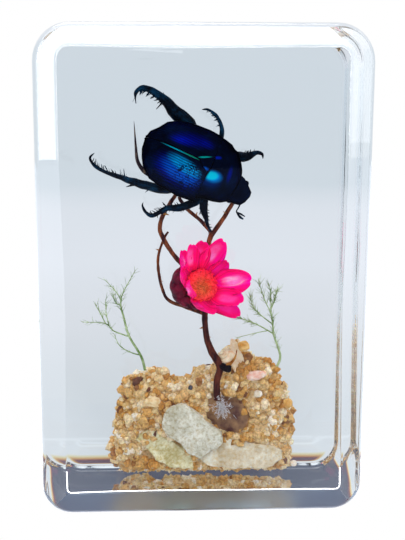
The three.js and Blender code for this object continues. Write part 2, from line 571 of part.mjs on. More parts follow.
// The legs and feelers, in the part's frame: from under the body out to the claws.
const bodyBlank = [
  solid(inPart(egg(ELYTRA.middle, ELYTRA.half, 4.7, { grow: GAP }))),
  solid(inPart(geometryOf(prothorax(GAP)))),
  solid(inPart(headSolid.clone().translate(0, 0, -GAP))),
];
const legForms = {
  leg_hind_left: {
    points: [[-2.6, 8.6, 81.1], [-2.6, 7, 88.2], [-6.1, 5, 91.7], [-8.5, 3.8, 94.5], [-12.3, 3, 97],
      [-14.4, 3, 97.2], [-15.5, 3, 95.9], [-15.4, 3, 93.6]],
    radii: [1, 1.15, 1, 0.8, 0.6, 0.5, 0.32, 0.14],
    spines: [[[-8.9, 3.6, 94.2], [-10.6, 3, 92.3], 0.28], [[-10.6, 3.4, 95.6], [-12, 3, 94.8], 0.3],
      [[-5.6, 5.2, 92], [-5.4, 4.6, 93.4], 0.35], [[-8.8, 3.8, 95], [-8.9, 3.6, 96.4], 0.35],
      [[-15.4, 3, 95.6], [-16.2, 2.6, 94], 0.2], [[-11.9, 3.1, 96.7], [-13.1, 3, 95.2], 0.3]],
  },
  leg_hind_right: {
    points: [[-4.7, 7.6, 76.7], [-7.8, 4.6, 73.4], [-12.2, 2.6, 73.9], [-15.7, 1.6, 75], [-19.4, 1, 76.3],
      [-22.9, 1, 77.5], [-25.4, 1, 79.1], [-26.4, 1, 80.8], [-25.3, 1, 82]],
    radii: [1, 1.1, 0.95, 0.85, 0.6, 0.5, 0.42, 0.28, 0.12],
    spines: [[[-18.2, 1.2, 76.4], [-18.4, 0.8, 78.3], 0.3], [[-16, 1.6, 74.4], [-17.9, 1.2, 73.9], 0.35],
      [[-22.2, 1, 77.6], [-22.7, 0.8, 79], 0.25], [[-20.8, 1, 77.1], [-21.2, 0.8, 78.3], 0.25],
      [[-12.4, 2.4, 73.3], [-13.4, 2.2, 72.4], 0.35]],
  },
  leg_middle_right: {
    points: [[-1.1, 8.6, 74.9], [0.1, 6.6, 71.1], [-2.5, 5, 69.4], [-5.4, 4.4, 68.5], [-7.8, 4, 68.6],
      [-9.8, 4, 67.6], [-11.7, 4, 66.7], [-13.2, 4, 67.6], [-14, 4, 69.1], [-13.8, 4, 70.1]],
    radii: [0.9, 0.9, 0.85, 0.8, 0.6, 0.45, 0.45, 0.35, 0.24, 0.1],
    spines: [[[-7.6, 4, 68.3], [-9.2, 3.7, 70], 0.32], [[-8.8, 4, 67.8], [-10.6, 3.7, 68.8], 0.28],
      [[-6.6, 4.2, 68.9], [-7.6, 3.9, 70], 0.28], [[-3.6, 4.6, 68.7], [-4.3, 4.3, 67.4], 0.32]],
  },
  leg_front_right: {
    points: [[2.6, 5.9, 73.6], [1.1, 3.6, 70.8], [0.9, 3.4, 68.1], [1.4, 3.6, 66.2], [1.9, 3.8, 64.2],
      [2.8, 4, 62.6]],
    radii: [0.8, 0.9, 0.75, 0.45, 0.38, 0.2],
    spines: [[[0.5, 3.5, 68.4], [-0.3, 3.2, 66.9], 0.3], [[2.4, 4, 63.2], [2, 3.9, 62.2], 0.16]],
  },
  leg_middle_left: {
    points: [[1, 8.8, 79.3], [4.6, 7.4, 84.3], [5.3, 6, 87.4], [4.3, 5.2, 90.2], [3.1, 5, 91.5],
      [1.8, 5, 92.3], [0.4, 5, 92.3]],
    radii: [0.9, 0.9, 0.6, 0.45, 0.5, 0.32, 0.1],
    spines: [[[4.7, 5.6, 88.6], [3.6, 5.2, 88.2], 0.25], [[4.3, 5.2, 89.9], [3.2, 4.9, 89.6], 0.22]],
  },
  leg_front_left: {
    points: [[4.9, 7, 77.8], [8.8, 5.8, 80.8], [10.6, 4.8, 80.9], [12, 4.2, 81.2], [13.6, 4, 82],
      [15, 4, 81.6], [15.2, 4, 80.5]],
    radii: [0.9, 1.1, 0.95, 0.4, 0.36, 0.28, 0.12],
    spines: [[[11, 4.6, 81.2], [11.4, 4.4, 82.4], 0.35], [[11.6, 4.4, 81.4], [12, 4.2, 82.2], 0.25]],
  },
};
const legs = new THREE.Group();
const legSockets = [];
for (const [name, { points, radii, spines }] of Object.entries(legForms)) {
  const pieces = [limb(points, radii, { steps: 9, sides: 5 })];
  pieces.push(...spines.map(([base, tip, radius]) => spike(base, tip, radius, 3)));
  place(legs, name, carve(join(pieces), [...bodyBlank, ...legSockets]), navyBelly);
  legSockets.push(solid(limb(points, radii, { steps: 9, sides: 5, grow: GAP })));
}
const antenna = join([
  limb([[9.9, 3, 69.9], [9.3, 2.8, 68.7], [8.8, 2.6, 67.8], [9.2, 2.5, 67]], [0.28, 0.22, 0.3],
    { steps: 5, sides: 4 }),
  limb([[9, 2.5, 67.3], [9.7, 2.4, 66.4], [10.5, 2.3, 65.9]], [0.3, 0.36, 0.24], { steps: 3, sides: 4 }),
  limb([[8.9, 2.6, 67.8], [9.9, 2.9, 67.1], [10.9, 3, 66.5]], [0.22, 0.26, 0.14], { steps: 3, sides: 4 }),
]);
place(legs, 'antenna_right', carve(antenna, bodyBlank), navyBelly);
const wingTip = limb([[-11.9, 3.4, 76.4], [-13.6, 2.8, 77.6], [-15.1, 2.4, 80], [-15.5, 2.2, 83.4],
  [-15.7, 2.2, 86.4], [-15.9, 2.2, 89.5]], [0.6, 0.65, 0.5, 0.55, 0.35, 0.08], { steps: 9, sides: 5 });
place(legs, 'hind_wing_tip', carve(solid(wingTip), [...bodyBlank, ...legSockets]), finish('#3b3038', 0.4));

// ---------------------------------------------------------------------------------------------------
// The resin block and the pocket round the specimens
// ---------------------------------------------------------------------------------------------------

/** The block's front outline inside its rim: wide round corners at the top, tighter below. */
function blockOutline(inset) {
  const x = BLOCK.width / 2 - inset;
  const [low, high] = [inset, BLOCK.height - inset];
  const [top, foot] = [BLOCK.topCorner - inset, BLOCK.bottomCorner - inset];
  const shape = new THREE.Shape();
  shape.absarc(-x + foot, low + foot, foot, Math.PI, 1.5 * Math.PI);
  shape.absarc(x - foot, low + foot, foot, 1.5 * Math.PI, 2 * Math.PI);
  shape.absarc(x - top, high - top, top, 0, 0.5 * Math.PI);
  shape.absarc(-x + top, high - top, top, 0.5 * Math.PI, Math.PI);
  return shape;
}
const block = new THREE.ExtrudeGeometry(blockOutline(RIM.width), {
  depth: BLOCK.depth - 2 * RIM.depth,
  bevelThickness: RIM.depth,
  bevelSize: RIM.width,
  bevelSegments: 2,
  curveSegments: 4,
});
block.rotateX(Math.PI / 2);
block.translate(0, BLOCK.depth / 2 - RIM.depth, 0);

/** One chamber of the pocket: an outline in the XZ plane round some of the specimens, from y to farY. */
const chamber = ({ outline, y, farY }) => (
  slab({ outline, y, thick: farY - y, worn: 0, seed: 0, level: true }));
const chambers = [
  { // the sand with its stones
    outline: [[26.6, -0.9], [26.8, 18.5], [22.4, 31], [13, 36.6], [7, 36.6], [4, 29.6], [-20.6, 28.6],
      [-23.8, 16], [-26.2, 8], [-22.8, -0.9]],
    y: 1.2,
    farY: 16.6,
  },
  { // the flower and the twig
    outline: [[-1, 27], [-1, 40.6], [-7.6, 42], [-11.6, 45.6], [-12, 60], [-11.2, 66.5], [-7, 72.6],
      [10.6, 72.6], [10, 68], [8, 63], [13.6, 55], [13.6, 50], [12, 43.4], [10.4, 40.8], [3.8, 40.8],
      [3.8, 36.4], [9.4, 34.4], [9.4, 27]],
    y: -8.9,
    farY: 13.4,
  },
  { // the beetle with its legs spread
    outline: [[-27.8, 82.8], [-27.6, 79.6], [-20, 74.4], [-15.4, 72], [-15, 66.4], [-11.6, 64.8],
      [-0.2, 66], [0, 61.2], [4.4, 61.2], [5, 67.4], [8, 64.8], [12, 65], [13.6, 69.6], [13.4, 76.6],
      [16.6, 79.8], [16.2, 83.2], [11.6, 84], [6.8, 88], [6.6, 92], [2.6, 93.8], [-0.8, 93.8], [-1.2, 91.6],
      [-6.4, 94.8], [-11.6, 98.6], [-15.8, 98.6], [-17.2, 96], [-17.2, 84], [-25, 83.6]],
    y: -4.4,
    farY: 10.4,
  },
  { // the sprig on the left
    outline: [[-12.2, 26], [-12.8, 32], [-17.2, 42], [-14.8, 53.4], [-17, 53.4], [-19.4, 49.4],
      [-23.8, 51.4], [-26.8, 44.8], [-30.6, 40.4], [-30.6, 38.2], [-24, 36], [-22.4, 32.6], [-15.2, 26]],
    y: 7.8,
    farY: 10.6,
  },
  { // the sprig on the right
    outline: [[16.6, 26], [18.8, 32.6], [17, 35], [8.6, 33.8], [8.6, 41], [12.2, 42.4], [12, 46.6],
      [14.4, 50.4], [19, 50], [21, 47.8], [20, 38], [22, 31], [20.8, 26]],
    y: 7.8,
    farY: 10.6,
  },
];
const pocket = join(chambers.map(chamber)).translate([0, 0, SPECIMEN_LIFT]);

// The specimens and the pocket are drawn lower than they stand, and lifted to their height here.
const specimens = new THREE.Group();
specimens.position.z = SPECIMEN_LIFT;
specimens.add(stones, twig, sprigs, flower, beetle, legs);
part.add(specimens);
const resin = finish('#dfe9ef', 0.05);
resin.transparent = true;
resin.opacity = 0.25;
const WIDE = 200;
const casting = solid(block).subtract(pocket);
place(part, 'resin_front', casting.intersect(
  boxSolid([-WIDE, -WIDE, -WIDE], [WIDE, PARTING_Y - GAP / 2, WIDE])), resin);
place(part, 'resin_back', casting.intersect(
  boxSolid([-WIDE, PARTING_Y + GAP / 2, -WIDE], [WIDE, WIDE, WIDE])), resin);

export default part;
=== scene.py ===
"""A blue metallic flower chafer above a pink flower and a thorny twig on a clump of sand, cast in clear
resin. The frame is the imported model's, in metres: +Z up, +X to the right, the front face looks along
-Y, and the origin is the middle of the flat bottom. Sizes and places below are in millimetres and go
through MM."""
import math
import random

import bmesh
import bpy
from mathutils import Matrix, Quaternion, Vector, noise
from mathutils.geometry import interpolate_bezier


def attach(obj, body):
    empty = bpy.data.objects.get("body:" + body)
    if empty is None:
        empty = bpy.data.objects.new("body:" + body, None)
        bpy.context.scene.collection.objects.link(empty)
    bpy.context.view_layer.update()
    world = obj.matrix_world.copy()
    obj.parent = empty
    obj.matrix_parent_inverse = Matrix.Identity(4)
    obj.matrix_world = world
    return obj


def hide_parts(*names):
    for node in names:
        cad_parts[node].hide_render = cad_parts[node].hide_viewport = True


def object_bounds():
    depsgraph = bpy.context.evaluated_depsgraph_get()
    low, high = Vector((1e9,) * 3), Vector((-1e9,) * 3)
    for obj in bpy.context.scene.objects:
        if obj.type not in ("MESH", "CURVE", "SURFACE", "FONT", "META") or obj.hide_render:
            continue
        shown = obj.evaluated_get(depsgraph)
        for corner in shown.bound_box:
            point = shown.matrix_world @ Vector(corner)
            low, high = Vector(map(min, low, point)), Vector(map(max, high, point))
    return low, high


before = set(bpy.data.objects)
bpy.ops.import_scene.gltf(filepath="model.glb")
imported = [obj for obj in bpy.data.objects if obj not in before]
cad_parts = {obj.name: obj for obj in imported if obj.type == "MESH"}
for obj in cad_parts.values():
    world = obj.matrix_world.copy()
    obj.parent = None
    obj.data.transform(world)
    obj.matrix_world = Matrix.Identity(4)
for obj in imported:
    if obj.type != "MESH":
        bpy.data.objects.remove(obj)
cad_low, cad_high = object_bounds()
scene = bpy.context.scene
MM = 0.001

# ---------------------------------------------------------------------------------------------------
# The view, the floor and the light
# The camera stands close in front of the block, a little to its left, and looks slightly down on it.
# ---------------------------------------------------------------------------------------------------
camera_data = bpy.data.cameras.new("camera")
camera_data.lens = 44.33
camera_data.sensor_width = 36
camera_data.shift_x = 0.0509
camera_data.shift_y = -0.1019
camera_data.clip_start = 0.01
camera = bpy.data.objects.new("camera", camera_data)
camera.location = (-0.0108, -0.165, 0.089)
camera.rotation_euler = (math.radians(90 - 7.17), 0, math.radians(-1.67))
scene.collection.objects.link(camera)
scene.camera = camera
scene.view_settings.view_transform = "Standard"

WALL = (0.66, 0.725, 0.78, 1)
TABLE = (0.78, 0.815, 0.87, 1)
SLATE = (0.09, 0.105, 0.155, 1)
CEILING = (0.95, 0.98, 1, 1)
DIM = (0.008, 0.009, 0.012, 1)
WHITE = (1, 1, 1, 1)
BLACK = (0, 0, 0, 1)
# The room as rays bent by the resin see it, from below to above, and as mirrored rays see it, from the
# front to the back.
ROOM_TONES = [
    (0.0, WALL), (0.585, WALL), (0.6, (0.8, 0.72, 0.42, 1)), (0.615, (0.62, 0.34, 0.14, 1)),
    (0.63, (0.2, 0.08, 0.11, 1)), (0.655, SLATE), (0.91, SLATE), (0.95, CEILING), (1.0, CEILING)]
MIRRORED_TONES = [
    (0.0, DIM), (0.045, DIM), (0.085, (3, 3, 3, 1)), (0.14, (3, 3, 3, 1)), (0.18, WHITE),
    (0.22, WHITE), (0.36, (0.3, 0.3, 0.3, 1)), (1.0, (0.3, 0.3, 0.3, 1))]
MIRROR_STRENGTH = 3.2


def add_node(tree, kind, values=None, **settings):
    """A new node in a tree, with its settings and the values of its sockets."""
    node = tree.nodes.new("ShaderNode" + kind)
    for setting, value in settings.items():
        setattr(node, setting, value)
    set_sockets(node, values or {})
    return node


def set_sockets(node, values):
    """Sets the sockets of a node that nothing feeds."""
    for socket, value in values.items():
        node.inputs[socket].default_value = value


def wire(tree, *links):
    """Joins nodes: each link is a node, its output, the node that it feeds and that node's input."""
    for source, output, target, socket in links:
        tree.links.new(source.outputs[output], target.inputs[socket])


def ramp(tree, stops, mode="LINEAR"):
    """A colour ramp with the given (position, colour) stops."""
    node = add_node(tree, "ValToRGB")
    node.color_ramp.interpolation = mode
    elements = node.color_ramp.elements
    elements[0].position, elements[0].color = stops[0]
    elements[1].position, elements[1].color = stops[-1]
    for position, colour in stops[1:-1]:
        elements.new(position).color = colour
    return node


world = bpy.data.worlds.new("studio")
world.use_nodes = True
scene.world = world
sky = world.node_tree
sky.nodes.clear()
direction = add_node(sky, "TexCoord")
split = add_node(sky, "SeparateXYZ")
height = add_node(sky, "MapRange", {"From Min": -1})
room = ramp(sky, ROOM_TONES)
depth = add_node(sky, "MapRange", {"From Min": -1})
mirrored = ramp(sky, MIRRORED_TONES)
room_light = add_node(sky, "Background")
mirror_light = add_node(sky, "Background", {"Strength": MIRROR_STRENGTH})
backdrop = add_node(sky, "Background", {"Color": WHITE})
seen = add_node(sky, "LightPath")
room_choice = add_node(sky, "MixShader")
choice = add_node(sky, "MixShader")
sky_out = add_node(sky, "OutputWorld")
wire(sky,
     (direction, "Generated", split, "Vector"),
     (split, "Z", height, "Value"),
     (height, "Result", room, "Fac"),
     (split, "Y", depth, "Value"),
     (depth, "Result", mirrored, "Fac"),
     (room, "Color", room_light, "Color"),
     (mirrored, "Color", mirror_light, "Color"),
     (seen, "Is Reflection Ray", room_choice, "Fac"),
     (room_light, "Background", room_choice, 1),
     (mirror_light, "Background", room_choice, 2),
     (seen, "Is Camera Ray", choice, "Fac"),
     (room_choice, "Shader", choice, 1),
     (backdrop, "Background", choice, 2),
     (choice, "Shader", sky_out, "Surface"))


def new_material(name, shine=0.1):
    """A fresh material, its node tree and its Principled BSDF. What lies in the resin hardly shines."""
    material = bpy.data.materials.new(name)
    material.use_nodes = True
    surface = material.node_tree.nodes["Principled BSDF"]
    surface.inputs["Specular IOR Level"].default_value = shine
    return material, material.node_tree, surface


# The floor's tones by distance, as rays bent by the resin see them, and by how far to the side a place
# lies, as mirrored rays do. To the camera the floor is white.
FLOOR_TONES = [
    (0.0, (0.65, 0.7, 0.74, 1)), (0.05, (0.655, 0.705, 0.745, 1)), (0.085, (0.675, 0.72, 0.76, 1)),
    (0.15, (0.735, 0.765, 0.81, 1)), (0.3, TABLE), (0.6, (0.76, 0.8, 0.855, 1)), (1.0, WALL)]
FLOOR_MIRRORED = [(0.0, SLATE), (0.36, SLATE), (0.62, (1.6, 1.75, 1.95, 1)), (1.0, (2.1, 2.2, 2.4, 1))]
# The shade and the coloured fringe of light on the floor close behind the block.
FLOOR_FRINGE = [
    (0.0, WHITE), (0.01, SLATE), (0.17, SLATE), (0.235, (0.25, 0.08, 0.1, 1)), (0.3, (0.8, 0.42, 0.16, 1)),
    (0.37, (0.98, 0.85, 0.5, 1)), (0.45, WHITE), (0.7, WHITE), (0.76, (1.12, 1.12, 1.12, 1)), (0.82, WHITE),
    (1.0, WHITE)]
FRINGE_START = 19 * MM
FRINGE_END = 40 * MM
FLOOR_HALF = 1.5
FLOOR_BELOW = 0.05 * MM


def product(tree):
    """A node whose Result is the product of its colours A and B."""
    return add_node(tree, "Mix", {"Factor": 1}, data_type="RGBA", blend_type="MULTIPLY")


floor_material, floor_tree, _ = new_material("pale_floor")
floor_glow = add_node(floor_tree, "Emission")
floor_shade = add_node(floor_tree, "Emission")
floor_place = add_node(floor_tree, "TexCoord")
floor_reach = add_node(floor_tree, "VectorMath", operation="LENGTH")
floor_tones = ramp(floor_tree, FLOOR_TONES)
floor_parts = add_node(floor_tree, "SeparateXYZ")
floor_slant = add_node(floor_tree, "Math", operation="DIVIDE")
floor_sides = add_node(floor_tree, "Math", operation="ABSOLUTE")
floor_mirrored = ramp(floor_tree, FLOOR_MIRRORED)
floor_behind = add_node(floor_tree, "MapRange", {"From Min": FRINGE_START, "From Max": FRINGE_END})
floor_fringe = ramp(floor_tree, FLOOR_FRINGE)
floor_shaded = product(floor_tree)
floor_mirror = add_node(floor_tree, "Mix", data_type="RGBA")
floor_seen = add_node(floor_tree, "LightPath")
floor_choice = add_node(floor_tree, "MixShader")
floor_out = floor_tree.nodes["Material Output"]
wire(floor_tree,
     (floor_place, "Object", floor_parts, "Vector"),
     (floor_parts, "X", floor_slant, 0),
     (floor_parts, "Y", floor_slant, 1),
     (floor_slant, "Value", floor_sides, 0),
     (floor_sides, "Value", floor_mirrored, "Fac"),
     (floor_place, "Object", floor_reach, 0),
     (floor_reach, "Value", floor_tones, "Fac"),
     (floor_parts, "Y", floor_behind, "Value"),
     (floor_behind, "Result", floor_fringe, "Fac"),
     (floor_tones, "Color", floor_shaded, "A"),
     (floor_fringe, "Color", floor_shaded, "B"),
     (floor_seen, "Is Reflection Ray", floor_mirror, "Factor"),
     (floor_shaded, "Result", floor_mirror, "A"),
     (floor_mirrored, "Color", floor_mirror, "B"),
     (floor_mirror, "Result", floor_shade, "Color"),
     (floor_seen, "Is Camera Ray", floor_choice, "Fac"),
     (floor_shade, "Emission", floor_choice, 1),
     (floor_glow, "Emission", floor_choice, 2),
     (floor_choice, "Shader", floor_out, "Surface"))
floor_shape = bmesh.new()
bmesh.ops.create_grid(floor_shape, x_segments=1, y_segments=1, size=FLOOR_HALF,
                      matrix=Matrix.Translation((0, 0, -FLOOR_BELOW)))
floor_mesh = bpy.data.meshes.new("floor")
floor_shape.to_mesh(floor_mesh)
floor_shape.free()
floor_mesh.materials.append(floor_material)
floor = bpy.data.objects.new("floor", floor_mesh)
scene.collection.objects.link(floor)

# Three soft lamps: (name, place and aim in millimetres, width in metres, watts).
LAMPS = [
    ("lamp_front", (-180, -420, 420), (0, 0, 60), 0.60, 2.8),
    ("lamp_right", (380, -260, 300), (0, 0, 60), 0.50, 1.6),
    ("lamp_top", (-60, 60, 520), (0, 0, 50), 0.35, 1.9),
]
for name, place, aim, width, watts in LAMPS:
    lamp_data = bpy.data.lights.new(name, "AREA")
    lamp_data.energy = watts
    lamp_data.size = width
    lamp = bpy.data.objects.new(name, lamp_data)
    lamp.visible_transmission = False
    lamp.location = Vector(place) * MM
    lamp.rotation_euler = (Vector(aim) - Vector(place)).to_track_quat("-Z", "Y").to_euler()
    scene.collection.objects.link(lamp)

# ---------------------------------------------------------------------------------------------------
# The resin block
# One clear casting, 75 x 40 x 112.5 mm, its corners and rims rounded and polished by hand, so that they
# wave a little. A box has its upright corners bevelled first, then the rims of its front and back.
# ---------------------------------------------------------------------------------------------------
SPECIMEN_LIFT = Vector((0, 0, 1.9 * MM))
TOP_CORNER = 8.5 * MM
BOTTOM_CORNER = 7 * MM
# The polished rims in section, in millimetres: (in from the side, out towards the face). The front one ends
# in a low bead.
FRONT_RIM = [(0, 0), (0.3, 0.8), (0.8, 1.3), (1.3, 1.5), (5.2, 2.3), (5.5, 2.41), (5.75, 2.53), (5.93, 2.58),
             (6.19, 2.57), (6.4, 2.55), (6.6, 2.55)]
REAR_RIM = [(0, 0), (0.3, 0.8), (0.8, 1.3), (1.3, 1.5), (5.2, 2.33), (5.9, 2.49), (6.2, 2.55), (6.6, 2.55)]
POLISH_WAVE = 0.055 * MM
WAVE_LENGTH = 9 * MM
# The share of the waves that is left on the flat faces.
FACE_WAVE = 0.12
# The creases between the rims and the faces wander: up to where, by how much and over what length.
CREASE_INSIDE = 7.2 * MM
CREASE_WAVE = 0.8 * MM
CREASE_LENGTH = 38 * MM
# The painted highlight, a dull white line on the front's lower crease for the light that the crease catches:
# where it lies in from the side, and how high it reaches.
HIGHLIGHT_SPAN = (5.9, 6.1)
HIGHLIGHT_TOP = 10 * MM
# The block's finishes in the order of its materials, the last a painted highlight, and the slope from which
# its front foot is worn.
CLEAR, WORN, PAINTED_HIGHLIGHT = 0, 1, 2
WORN_SLOPE = -0.15


def join_into(shape, part):
    """Adds a part to a shape and frees the part."""
    mesh = bpy.data.meshes.new("part")
    part.to_mesh(mesh)
    part.free()
    shape.from_mesh(mesh)
    bpy.data.meshes.remove(mesh)


def bevel(shape, edges, offset, segments):
    """Rounds the given edges."""
    bmesh.ops.bevel(shape, geom=edges, offset=offset, offset_type="OFFSET", affect="EDGES",
                    segments=segments, profile=0.5, material=-1, clamp_overlap=False)


def cut_grid(shape, axis, places):
    """Cuts the whole shape across an axis at each place, so that its flat faces can be bent."""
    normal = Vector((0, 0, 0))
    normal[axis] = 1
    for place in places:
        bmesh.ops.bisect_plane(shape, geom=shape.verts[:] + shape.edges[:] + shape.faces[:],
                               plane_co=normal * place, plane_no=normal, dist=1e-7)


def even_places(low, high, spacing):
    """Places from low to high, about a spacing apart."""
    count = max(1, round((high - low) / spacing))
    return [low + (high - low) * i / count for i in range(count + 1)]


def finish_piece(name, shape, materials, slot, *nodes, lift=SPECIMEN_LIFT):
    """Makes the shape a piece that rides with the block and stands for the nodes; the slot is not used.
    The specimens are drawn lower than they stand, and each is lifted to its height in the resin here."""
    mesh = bpy.data.meshes.new(name)
    bmesh.ops.translate(shape, verts=shape.verts, vec=lift)
    shape.to_mesh(mesh)
    shape.free()
    for material in materials:
        mesh.materials.append(material)
    mesh.polygons.foreach_set("use_smooth", [True] * len(mesh.polygons))
    piece = bpy.data.objects.new(name, mesh)
    scene.collection.objects.link(piece)
    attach(piece, "root")
    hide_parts(*nodes)
    return piece


block_size = cad_high - cad_low
block_middle = (cad_high + cad_low) / 2
block = bmesh.new()
core_size = Vector((block_size.x, block_size.y - 2 * FRONT_RIM[-1][1] * MM, block_size.z))
bmesh.ops.create_cube(block, size=1, matrix=Matrix.LocRotScale(block_middle, None, core_size))
for radius, is_upper in ((TOP_CORNER, True), (BOTTOM_CORNER, False)):
    corners = [edge for edge in block.edges
               if abs(edge.verts[0].co.y - edge.verts[1].co.y) > core_size.y / 2
               and (edge.verts[0].co.z > block_middle.z) == is_upper
               and abs(edge.verts[0].co.z - block_middle.z) > 0.49 * block_size.z]
    bevel(block, corners, radius, 9)
block.normal_update()
for face in [face for face in block.faces if abs(face.normal.y) > 0.9]:
    rim = FRONT_RIM if face.normal.y < 0 else REAR_RIM
    for (last_in, last_out), (inward, outward) in zip(rim, rim[1:]):
        ring = bmesh.ops.inset_region(block, faces=[face], use_even_offset=True,
                                      thickness=(inward - last_in) * MM, depth=(outward - last_out) * MM)
        # The strips of the front rim's crease line take the painted highlight.
        if rim is FRONT_RIM and HIGHLIGHT_SPAN[0] <= last_in < HIGHLIGHT_SPAN[1]:
            for strip in ring["faces"]:
                strip.material_index = PAINTED_HIGHLIGHT
flat_half = block_size.x / 2 - TOP_CORNER
cut_grid(block, 0, even_places(-flat_half, flat_half, 3 * MM))
cut_grid(block, 1, even_places(-core_size.y / 2, core_size.y / 2, 4 * MM)[1:-1])
cut_grid(block, 2, even_places(TOP_CORNER, block_size.z - TOP_CORNER, 3 * MM))
block.normal_update()
for vert in block.verts:
    off_face = block_size.y / 2 - abs(vert.co.y)
    inside = min(block_size.x / 2 - abs(vert.co.x), block_size.z / 2 - abs(vert.co.z - block_middle.z))
    if off_face < 0.3 * MM and inside < CREASE_INSIDE:
        wander = noise.noise_vector(vert.co / CREASE_LENGTH) * CREASE_WAVE
        vert.co += Vector((wander.x, 0, wander.z))
for vert in block.verts:
    on_face = abs(abs(vert.co.y) - block_size.y / 2) < 1e-6
    on_foot = vert.co.z < 1e-6
    sway = noise.noise(vert.co / WAVE_LENGTH) - 0.4
    strength = FACE_WAVE if on_face or on_foot else 1
    vert.co += vert.normal * POLISH_WAVE * strength * sway * (0 if on_foot else 1)
resin_material, resin_tree, resin = new_material("clear_resin", 0.5)
resin.inputs["Base Color"].default_value = WHITE
resin.inputs["Roughness"].default_value = 0.0
resin.inputs["IOR"].default_value = 1.5
resin.inputs["Transmission Weight"].default_value = 1
resin_tint = resin_tree.nodes.new("ShaderNodeVolumeAbsorption")
resin_tint.inputs["Color"].default_value = (0.82, 0.92, 1, 1)
resin_tint.inputs["Density"].default_value = 4
resin_path = resin_tree.nodes.new("ShaderNodeLightPath")
resin_pass = resin_tree.nodes.new("ShaderNodeBsdfTransparent")
resin_mix = resin_tree.nodes.new("ShaderNodeMixShader")
resin_out = resin_tree.nodes["Material Output"]
resin_tree.links.new(resin_path.outputs["Is Shadow Ray"], resin_mix.inputs["Fac"])
resin_tree.links.new(resin.outputs["BSDF"], resin_mix.inputs[1])
resin_tree.links.new(resin_pass.outputs["BSDF"], resin_mix.inputs[2])
resin_tree.links.new(resin_mix.outputs["Shader"], resin_out.inputs["Surface"])
resin_tree.links.new(resin_tint.outputs["Volume"], resin_out.inputs["Volume"])
worn_material = resin_material.copy()
worn_material.name = "worn_resin"
worn = worn_material.node_tree.nodes["Principled BSDF"]
worn.inputs["Roughness"].default_value = 0.42
worn.inputs["Base Color"].default_value = (0.28, 0.4, 0.62, 1)
# The painted highlight: a white, rough, unclear finish that stands in for the light caught by the front's
# lower crease.
highlight_material, _, highlight_coat = new_material("painted_highlight_crease", 0.5)
highlight_coat.inputs["Base Color"].default_value = WHITE
highlight_coat.inputs["Roughness"].default_value = 0.4
# The front foot's downward faces take the worn finish, and the painted highlight stays only on the crease
# line's strips low on the front.
for face in block.faces:
    is_worn = face.normal.z < WORN_SLOPE and face.normal.y < WORN_SLOPE
    if face.material_index != PAINTED_HIGHLIGHT or face.calc_center_median().z >= HIGHLIGHT_TOP:
        face.material_index = WORN if is_worn else CLEAR
finish_piece("resin_block", block, [resin_material, worn_material, highlight_material], "resin", "resin_front",
             "resin_back", lift=Vector((0, 0, 0)))

# ---------------------------------------------------------------------------------------------------
# The flat stones in front of the sand
# Three waxy, worn pieces of pale stone that overlap like tiles. Each is its outline drawn in the XZ plane,
# given its thickness, rounded at its edges, cut into a fine grid and dented.
# ---------------------------------------------------------------------------------------------------
SLABS = {
    "slab_centre": {
        "outline": [(-9.7, 15.2), (-9.1, 17.2), (-7.9, 18.4), (-6.2, 19.2), (-4.6, 19.4), (-2.9, 18.6),
                    (0.6, 16.1), (5.4, 11.3), (5.9, 9.8), (5.7, 8.2), (4.4, 7.2), (2.8, 6.8), (0.4, 4.4),
                    (-3.4, 6.2), (-5, 8.6), (-8.6, 11.5), (-9.6, 13.2)],
        "front": 2.1, "thick": 2.2, "seed": 1, "slot": "pale_slab"},
    "slab_left": {
        "outline": [(-16.6, 9.4), (-14.5, 11.3), (-12.6, 12.3), (-9.9, 10.9), (-7.4, 9.6), (-4.4, 7.4),
                    (-1.9, 5.6), (-1.4, 1), (-3.8, 1.1), (-7.4, 2), (-10.4, 3.2), (-12.2, 5.4)],
        "front": 4.8, "thick": 1.9, "seed": 2, "slot": "pale_slab"},
    "slab_right": {
        "outline": [(-0.6, 3.6), (2.4, 6.2), (6.8, 10), (11.9, 9.1), (14.5, 8), (18.1, 7.4), (21.4, 6.2),
                    (22.2, 3.8), (19.4, 1.8), (16.4, 1.1), (9.2, 1), (3.4, 1.5)],
        "front": 4.8, "thick": 2.1, "seed": 3, "slot": "cream_slab"},
}
SLAB_ROUND = 0.4
SLAB_JAG = 0.35


def node_group(name, inputs, outputs):
    """A shader node group with the given sockets, its input node and its output node."""
    group = bpy.data.node_groups.new(name, "ShaderNodeTree")
    for socket, (kind, value) in inputs.items():
        made = group.interface.new_socket(socket, in_out="INPUT", socket_type="NodeSocket" + kind)
        made.default_value = value
    for socket, kind in outputs.items():
        group.interface.new_socket(socket, in_out="OUTPUT", socket_type="NodeSocket" + kind)
    return group, group.nodes.new("NodeGroupInput"), group.nodes.new("NodeGroupOutput")


def mottle_group():
    """Two-tone mottling on the piece's own coordinates: a Color between two tones and a Height."""
    group, given, result = node_group(
        "mottle",
        {"Scale": ("Float", 1000), "Stretch": ("Vector", (1, 1, 1)), "Dark": ("Color", BLACK),
         "Light": ("Color", WHITE), "Low": ("Float", 0.35), "High": ("Float", 0.65)},
        {"Color": "Color", "Height": "Float"})
    place = add_node(group, "TexCoord")
    stretch = add_node(group, "VectorMath", operation="MULTIPLY")
    cloud = add_node(group, "TexNoise", {"Detail": 5, "Roughness": 0.6})
    contrast = add_node(group, "MapRange")
    blend = add_node(group, "Mix", data_type="RGBA")
    wire(group,
         (place, "Object", stretch, 0),
         (given, "Stretch", stretch, 1),
         (stretch, "Vector", cloud, "Vector"),
         (given, "Scale", cloud, "Scale"),
         (cloud, "Fac", contrast, "Value"),
         (given, "Low", contrast, "From Min"),
         (given, "High", contrast, "From Max"),
         (contrast, "Result", blend, "Factor"),
         (given, "Dark", blend, "A"),
         (given, "Light", blend, "B"),
         (blend, "Result", result, "Color"),
         (contrast, "Result", result, "Height"))
    return group


